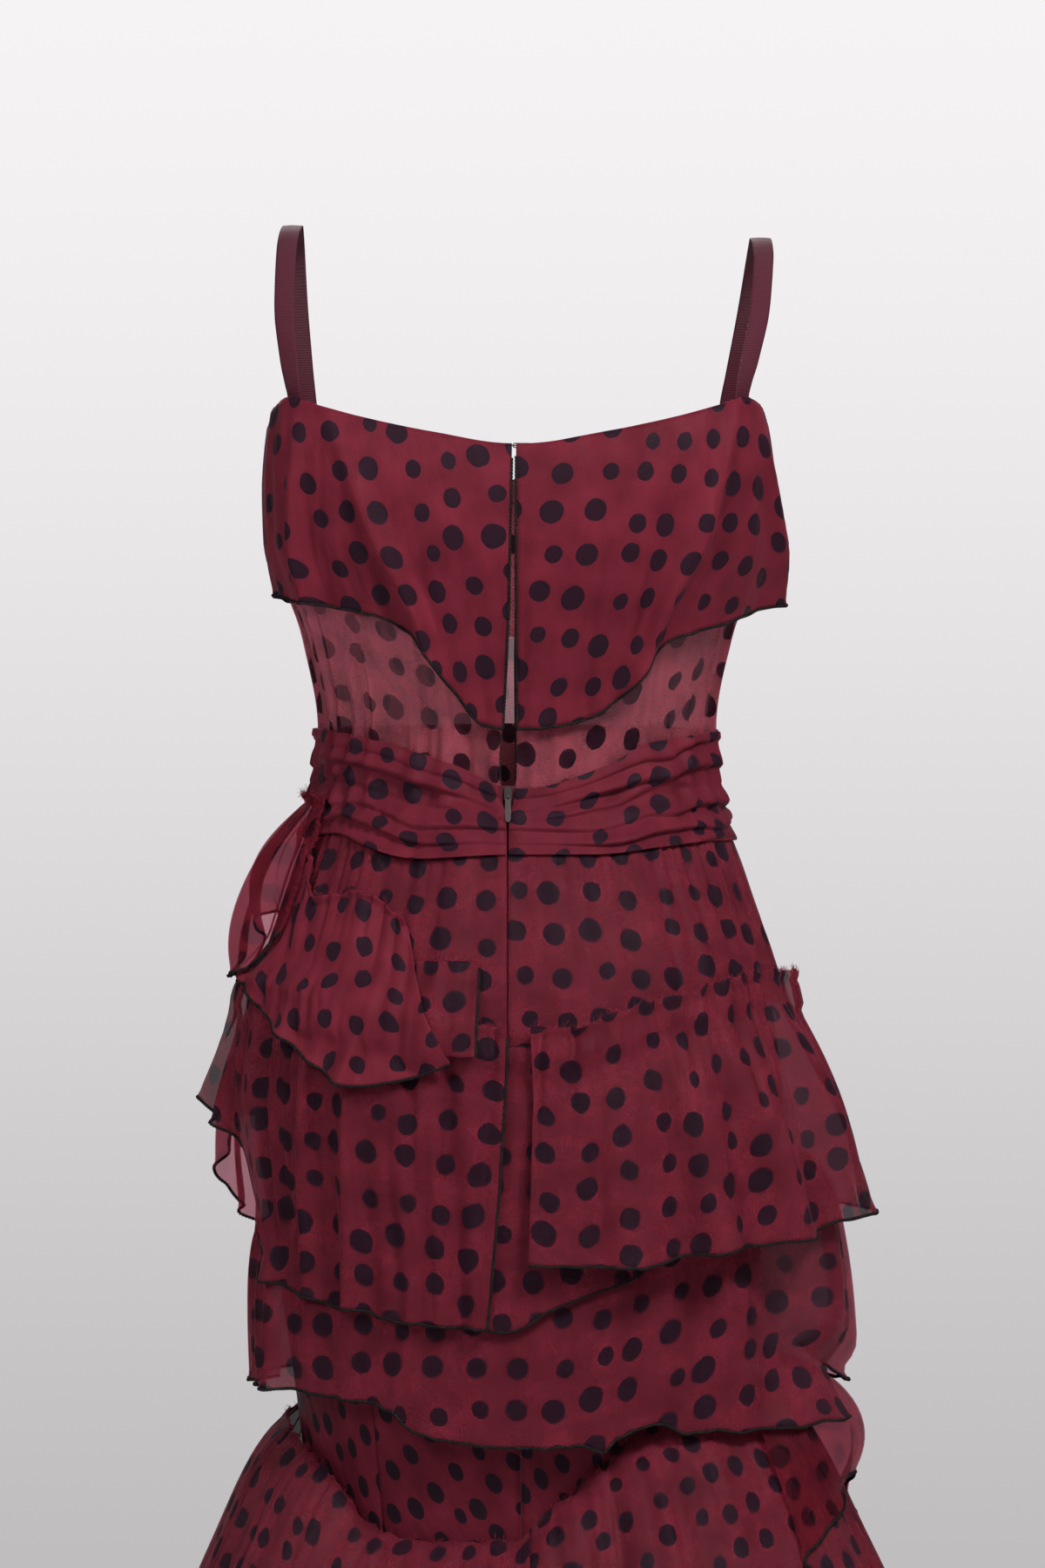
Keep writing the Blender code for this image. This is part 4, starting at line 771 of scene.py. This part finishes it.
# First tier: a short centre piece, then the left, right and front flounces
tier1 = {"header": 0.006, "top": (tier1Seam, 0.006), "hemWave": 0.0012, "columnWidth": 0.0019,
         "gathers": [(120, 0.0022, 0.0008, 0.0, -2.2, 361), (48, 0.0062, 0.0034, 0.0, -5.0, 362),
        (26, 0.0012, 0.0056, 0.0062, 1.3, 363)],
         "frayed": {"edges": ("top",), "every": 0.0013, "long": 0.0028, "seed": 5}}
makeSheet("tier1_centre", {
    "start": -22.6, "end": 5.0, "top": -0.492, "spread": 0.7,
    "hem": [(-23, -0.6266), (-5.5, -0.645), (1.5, -0.658), (6, -0.657)],
    "ease": [(-23, 0.0, 0.02), (5, 0.0, 0.02)], "columnWidth": 0.0022,
    "over": skirtAll + sheathAll + ("tier2_back",), "bound": ("hem", "start", "end"),
})
makeSheet("tier1_front", {**tier1,
    "start": 64, "end": 261.95, "spread": 0.7, "columnWidth": 0.0024, "finish": frillChiffon,
    "hem": [(64, -0.61), (72, -0.604), (80, -0.593), (88, -0.578), (96, -0.562), (106, -0.544),
        (120, -0.534), (150, -0.55), (180, -0.575), (230, -0.59), (262, -0.595)],
    "ease": [(64, 0.0, 0.001), (74, 0.0, 0.006), (84, 0.0, 0.02), (98, 0.0, 0.022),
        (112, 0.0, 0.014),
        (130, 0.0, 0.022),
        (180, 0.0, 0.028), (230, 0.0, 0.044), (262, 0.0, 0.058)],
    "over": skirtAll + sheathAll + ("tier2_front", "tier2_back", "tier1_centre"),
    "folds": [(78, 78, 4, 3, 0.001, 0.01), (92, 92, 6, 5, 0.001, 0.008, 0.2),
        (106, 106, 5, 6, 0.001, 0.012, 0.2)]
    + evenFolds(120, 250, 6, 0.001, 0.009, 19),
    "gathers": [(120, 0.001, 0.0004, 0.0, -2.0, 361), (48, 0.0026, 0.002, 0.0, -3.0, 362),
        (26, 0.0004, 0.002, 0.0036, 1.3, 363)],
    "headerRise": 0.001, "bound": ("hem",),
})
makeSheet("tier1_left", {**tier1,
    "start": 2.0, "end": 88.5,
    "hem": [(1, -0.658), (13, -0.655), (21, -0.652), (36, -0.646), (49, -0.64),
        (60, -0.634), (66, -0.631), (68.5, -0.605), (71, -0.562), (75, -0.55),
        (82, -0.538), (88.5, -0.527)],
    "headerRise": 0.0012, "spread": 0.9,
    "ease": [(0, 0.0, 0.02), (30, 0.0, 0.016), (60, 0.0, 0.008), (70, 0.0, 0.006),
        (78, 0.0, 0.02), (88.5, 0.0, 0.03)],
    "over": skirtAll + sheathAll + ("tier2_back", "tier2_front", "tier1_centre", "tier1_front"),
    "folds": [(8, 7, 4, 4, 0.002, 0.008), (14, 14, 4, 3, 0.001, 0.007),
        (22, 21, 4, 4, 0.002, 0.009), (33, 37, 6, 4, 0.003, 0.012),
        (46, 50, 6, 3, 0.003, 0.012), (60, 60, 4, 4, 0.002, 0.007),
        (79, 79, 4, 3, 0.001, 0.01)],
    "bound": ("hem", "start"), "loose": (66.5, 72.5),
    "startLine": [(0, 0.0062), (0.12, 0.0062), (0.55, 0.0104), (1, 0.0166)],
})
makeSheet("tier1_right", {**tier1,
    "start": -97.95, "end": -1.0, "spread": 0.9,
    "hem": [(-98, -0.595), (-86, -0.593), (-75, -0.5935), (-61, -0.6), (-54, -0.605),
        (-37, -0.611), (-19, -0.6188), (-2, -0.619)],
    "ease": [(-98, 0.0, 0.058), (-75, 0.0, 0.06), (-45, 0.0, 0.046), (-20, 0.0, 0.036),
        (0, 0.0, 0.032)],
    "over": skirtAll + sheathAll + ("tier2_back", "tier2_front", "tier1_centre"),
    "folds": [(-13, -19, 7, 5, 0.002, 0.01), (-27, -37, 8, 5, 0.003, 0.012),
        (-41, -54, 8, 6, 0.003, 0.012), (-60, -76, 9, 7, 0.002, 0.011)],
    "bound": ("hem",),
    "endLine": [(0, -0.007), (0.3, -0.0088), (1, -0.0056)],
})
print("tiers made")

# Neckline flounce
neckFlounce = {
    "top": neckline, "hem": flounceHem, "over": bodiceAll, "reach": 0.15, "cutRow": 0.5,
    "columnWidth": 0.002, "hemWave": 0.0006, "held": "hung", "finish": doubledChiffon,
    "gathers": [(40, 0.0008, 0.001, 0.0014, 1.4, 371), (18, 0.0, 0.0018, 0.0032, 1.2, 372)],
}
makeSheet("neck_flounce_back_left", {**neckFlounce, "start": 1.2, "end": 87.97, "grain": 18,
    "ease": [(0, 0.0, 0.01), (26, 0.0, 0.014), (39, 0.0, 0.012), (65, 0.0, 0.014),
        (88, 0.0, 0.012)],
    "folds": [(48, 21, 8, 5, 0.004, 0.015), (60, 55, 5, 6, 0.003, 0.014)],
    "bound": ("hem", "start"), "startLine": [(0, 0.0036), (0.6, 0.0056), (1, 0.0088)],
})
makeSheet("neck_flounce_front", {**neckFlounce, "start": 88.03, "end": 271.97, "grain": 8,
    "ease": [(88, 0.0, 0.012), (120, 0.0, 0.016), (165, 0.0, 0.02), (240, 0.0, 0.02),
        (272, 0.0, 0.02)],
    "folds": evenFolds(95, 265, 8, 0.001, 0.007, 20, bulge=0.15), "bound": ("hem",),
    "columnWidth": 0.003,
})
makeSheet("neck_flounce_back_right", {**neckFlounce, "start": -87.97, "end": -0.5, "grain": -14,
    "ease": [(-88, 0.0, 0.02), (-61, 0.0, 0.018), (-39, 0.0, 0.013), (-30, 0.0, 0.012),
        (-18, 0.0, 0.01), (0, 0.0, 0.01)],
    "folds": [(-60, -32, 5, 8, 0.004, 0.013), (-72, -82, 5, 7, 0.003, 0.012)],
    "bound": ("hem", "end"), "endLine": [(0, 0.0012), (0.6, 0.0012), (1, 0.0006)],
})

# Pleated sash
sash = {
    "top": sashTop, "hem": sashHem, "rest": 0.0006, "reach": 0.125, "rowHeight": 0.001,
    "columnWidth": 0.0034, "finish": pleatedSash, "slot": "chiffon", "held": "folded", "curl": 0.0,
    "pleats": [(0.1, 0.16, 0.003), (0.29, 0.2, 0.0044), (0.46, 0.16, 0.004),
        (0.65, 0.2, 0.0044), (0.83, 0.18, 0.0038), (0.99, 0.15, 0.003)],
    "ease": [(-88, 0.005, 0.006), (-25, 0.004, 0.004), (0, 0.0, 0.0), (25, 0.004, 0.004),
        (88, 0.005, 0.006), (272, 0.005, 0.006)], "cutRow": 0.5,
}
makeSheet("sash_back_left", {**sash, "start": 1.5, "end": 87.97,
    "over": bodiceAll + skirtAll + sheathAll + ("zip_tape",),
    "startLine": [(0, zipX + 0.0042), (0.24, zipX + 0.003), (0.4, zipX + 0.0008),
        (1, zipX + 0.0006)]})
makeSheet("sash_front", {**sash, "start": 88.03, "end": 271.97,
    "over": bodiceAll + skirtAll + sheathAll})
makeSheet("sash_back_right", {**sash, "start": -87.97, "end": 0.3,
    "over": bodiceAll + skirtAll + sheathAll + ("zip_tape",),
    "endLine": [(0, zipX - 0.0042), (0.24, zipX - 0.003), (0.4, zipX - 0.0008),
        (1, zipX - 0.0006)]})
print("sash made")

# Drape and frill at the left hip
makeSheet("hip_drape_under", {
    "start": 6.5, "end": 20, "top": -0.442, "hem": -0.497,
    "ease": [(6.5, 0.0, 0.012), (20, 0.0, 0.012)], "over": skirtAll + tier1Back,
    "bound": ("start",), "columnWidth": 0.0016, "rowHeight": 0.003,
    "gathers": [(70, 0.0008, 0.0016, 0.0014, 1.4, 381)],
    "frayed": {"edges": ("top",), "every": 0.001, "long": 0.0026, "seed": 6},
})
makeSheet("hip_drape", {
    "start": 9.4, "end": 72, "header": 0.005, "columnWidth": 0.0016, "rowHeight": 0.0035,
    "top": [(9, -0.432), (17, -0.425), (24, -0.417), (37, -0.401), (50, -0.4035),
        (56, -0.4045), (61, -0.385), (72, -0.364)],
    "startLine": [(0, 0.064), (0.4, 0.0545), (1, 0.0365)], "turnReach": 45.0, "flare": 0.85,
    "hem": [(9, -0.499), (20, -0.5106), (31, -0.515), (42, -0.502), (52, -0.486),
        (60, -0.473), (72, -0.455)],
    "ease": [(9, 0.0, 0.016), (30, 0.0, 0.02), (55, 0.0, 0.02), (72, 0.0, 0.012)],
    "over": skirtAll + tier1Back + ("tier1_front", "hip_drape_under", "sash_back_left"),
    "finish": doubledChiffon,
    "folds": [(24, 34, 3, 5, 0.002, 0.009), (33, 42, 3, 5, 0.005, 0.004),
        (46, 52, 4, 6, 0.003, 0.007), (61, 64, 5, 7, 0.003, 0.007)],
    "gathers": [(90, 0.0022, 0.0006, 0.0, -2.2, 382), (30, 0.003, 0.0016, 0.0006, -2.0, 383)],
    "bound": ("hem",), "frayed": {"edges": ("top",), "every": 0.001, "long": 0.003, "seed": 7},
})
makeSheet("hip_frill", {
    "finish": frillChiffon,
    "start": 62, "end": 125, "top": -0.345, "spread": 0.25,
    "hem": [(62, -0.424), (72, -0.45), (84, -0.456), (91, -0.454), (97, -0.436),
        (104, -0.42), (114, -0.416), (125, -0.402)],
    "blouse": [(62, 0.002), (74, 0.008), (86, 0.015), (110, 0.018), (125, 0.01)],
    "ease": [(62, 0.0, 0.003), (76, 0.0, 0.01), (84, 0.0, 0.015), (96, 0.0, 0.013),
        (110, 0.0, 0.018), (125, 0.0, 0.014)],
    "over": skirtAll + tier1Back + sashAll + ("tier1_front", "hip_drape"),
    "folds": [(70, 68, 4, 4, 0.002, 0.008), (79, 79, 3, 4, 0.004, 0.011),
        (89, 90, 4, 4, 0.005, 0.012),
        (102, 103, 5, 6, 0.005, 0.012), (116, 117, 5, 5, 0.004, 0.01)],
    "gathers": [(80, 0.003, 0.0016, 0.0006, -2.0, 384)], "columnWidth": 0.0012,
    "rowHeight": 0.0035, "bound": ("hem", "end"), "header": 0.004, "hemWave": 0.003,
    "frayed": {"edges": ("top", "start"), "every": 0.0009, "long": 0.0036, "seed": 8},
})
print("hip drape made")

# Shoulder straps of grosgrain, along the middle line of their solids
straps = {
    "shares": [0.0] + list(np.linspace(0.05, 0.95, 21)) + [1.0],
    "line": [(0.00, 0.132, 0.07, -0.118), (0.05, 0.133, 0.07, -0.109),
             (0.16, 0.1365, 0.066, -0.085), (0.32, 0.1395, 0.053, -0.05),
             (0.44, 0.139, 0.033, -0.018), (0.5, 0.1375, 0.012, -0.004),
             (0.54, 0.1365, -0.004, 0.0000), (0.6, 0.1365, -0.024, -0.006),
             (0.7, 0.136, -0.053, -0.032), (0.84, 0.133, -0.076, -0.076),
             (0.95, 0.1285, -0.087, -0.1185), (1.00, 0.128, -0.088, -0.1285)],
    "sides": {"strap_left": (1, 0.0, 0.0), "strap_right": (-1, 0.01, 0.0075)},
}


def makeStrap(name, side, lean, drop):
    share = np.array(straps["shares"])
    x, y, z = (along(straps["line"], share, k) for k in (1, 2, 3))
    raised = np.clip(1 + z / 0.1, 0, 1)
    middle = np.stack([side * (x + lean * raised), y, z - drop * raised ** 2], -1)
    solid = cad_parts[name].data
    corners = np.unique(np.round([tuple(c.co) for c in solid.vertices], 5), axis=0)
    left, right = [], []
    for point in middle:
        nearest = corners[np.argsort(np.linalg.norm(corners - point, axis=1))[:6]]
        order = np.argsort(nearest @ np.array([1.0, 0.15 * side, 0]))
        left.append(nearest[order[:2]].mean(0))
        right.append(nearest[order[-2:]].mean(0))
    left, right = np.array(left), np.array(right)
    run = runLength((left + right) / 2)
    at = np.linspace(0, run[-1], 150)
    left = np.stack([smooth(at, run, left[:, k]) for k in range(3)], -1)
    right = np.stack([smooth(at, run, right[:, k]) for k in range(3)], -1)
    w = np.linspace(0, 1, 9)[:, None, None]
    points = left[None] * (1 - w) + right[None] * w
    ahead = np.gradient((left + right) / 2, axis=0)
    outward = np.cross(ahead, right - left)
    outward /= np.linalg.norm(outward, axis=1, keepdims=True)
    away = np.stack([0 * at, (left + right)[:, 1] / 2, 0 * at + 0.02], -1)
    outward *= np.sign((outward * away).sum(1))[:, None]
    crown = 0.00035 * (1 - (2 * w - 1) ** 2)
    points = points + outward[None] * crown
    flat = np.stack([w[..., 0] * 0.012 + 0 * at[None], at[None] + 0 * w[..., 0]], -1)
    sheet = gridMesh(name + "_band", points, flat, grosgrain, 0.001)
    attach(sheet, "root")
    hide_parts(name)


for strapName, (side, lean, drop) in straps["sides"].items():
    makeStrap(strapName, side, lean, drop)

# Zip teeth on the tape, above and below the slider
middleLine = tape[tape.shape[0] // 2]
teeth = []
toothRoom = {"pitch": 0.0013, "half": 0.0012, "wire": 0.00035}
levels = np.arange(-0.3415, -0.378, -toothRoom["pitch"])
for k, level in enumerate(levels):
    y = np.interp(-level, -middleLine[:, 2], middleLine[:, 1]) + 0.0007
    teeth.append([(zipX - toothRoom["half"], y, level), (zipX, y + 0.0004, level + 0.0002),
                  (zipX + toothRoom["half"], y, level)])
coil = tubeMesh("zip_coil", teeth, toothRoom["wire"], overlock, 5)
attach(coil, "root")

for name in ("zip_slider", "zip_pull", "hook", "eye"):
    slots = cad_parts[name].data.materials
    for k in range(len(slots)):
        slots[k] = nickelPaintedReflection
    if not len(slots):
        slots.append(nickelPaintedReflection)
print("trims made")

# Floor and light
bpy.ops.mesh.primitive_circle_add(vertices=96, radius=3.2, fill_type="NGON", location=(0, 0, 0))
floor = bpy.context.object
floor.name = "studio_floor"
floor.data.transform(Matrix.Translation((0, 0, -1.3035)))
floor.data.materials.append(newFinish("paleFloor", (0.8, 0.79, 0.8), 0.85, {})[0])

studio = {"wallTop": 0.97, "wallLow": 0.5, "roomLight": 0.26}
bpy.context.scene.view_settings.view_transform = "Standard"
world = bpy.data.worlds.new("studio")
bpy.context.scene.world = world
world.use_nodes = True
worldTree = world.node_tree
wall = worldTree.nodes["Background"]
# the wall is pale above and darker below, and the room lights the gown evenly
apart = node(worldTree, "SeparateXYZ", {0: node(worldTree, "TexCoord", {})["Generated"]})
feed(worldTree, wall, {"Color": (0.96, 0.93, 0.95, 1), "Strength": softStep(
    worldTree, apart["Z"], -0.2, 0.16, studio["wallLow"], studio["wallTop"])})
room = node(worldTree, "Background", {"Color": (0.92, 0.9, 0.93, 1),
                                      "Strength": studio["roomLight"]})
either = node(worldTree, "MixShader", {0: node(worldTree, "LightPath", {})["Is Camera Ray"],
                                       1: room[0], 2: wall.outputs[0]})
feed(worldTree, worldTree.nodes["World Output"], {0: either[0]})


def addLight(name, place, aim, size, power):
    data = bpy.data.lights.new(name, "AREA")
    data.shape, data.size, data.energy = "DISK", size, power
    lamp = bpy.data.objects.new(name, data)
    lamp.location = place
    lamp.rotation_euler = (Vector(aim) - Vector(place)).to_track_quat("-Z", "Y").to_euler()
    bpy.context.scene.collection.objects.link(lamp)


addLight("keyLight", (-1.0, 1.8, 1.4), (0, 0, -0.35), 0.8, 78)
addLight("fillLight", (1.3, 2.4, 0.9), (0, 0, -0.4), 1.1, 36)
addLight("frontLight", (0.4, -3.2, 1.2), (0, 0, -0.5), 2.0, 60)
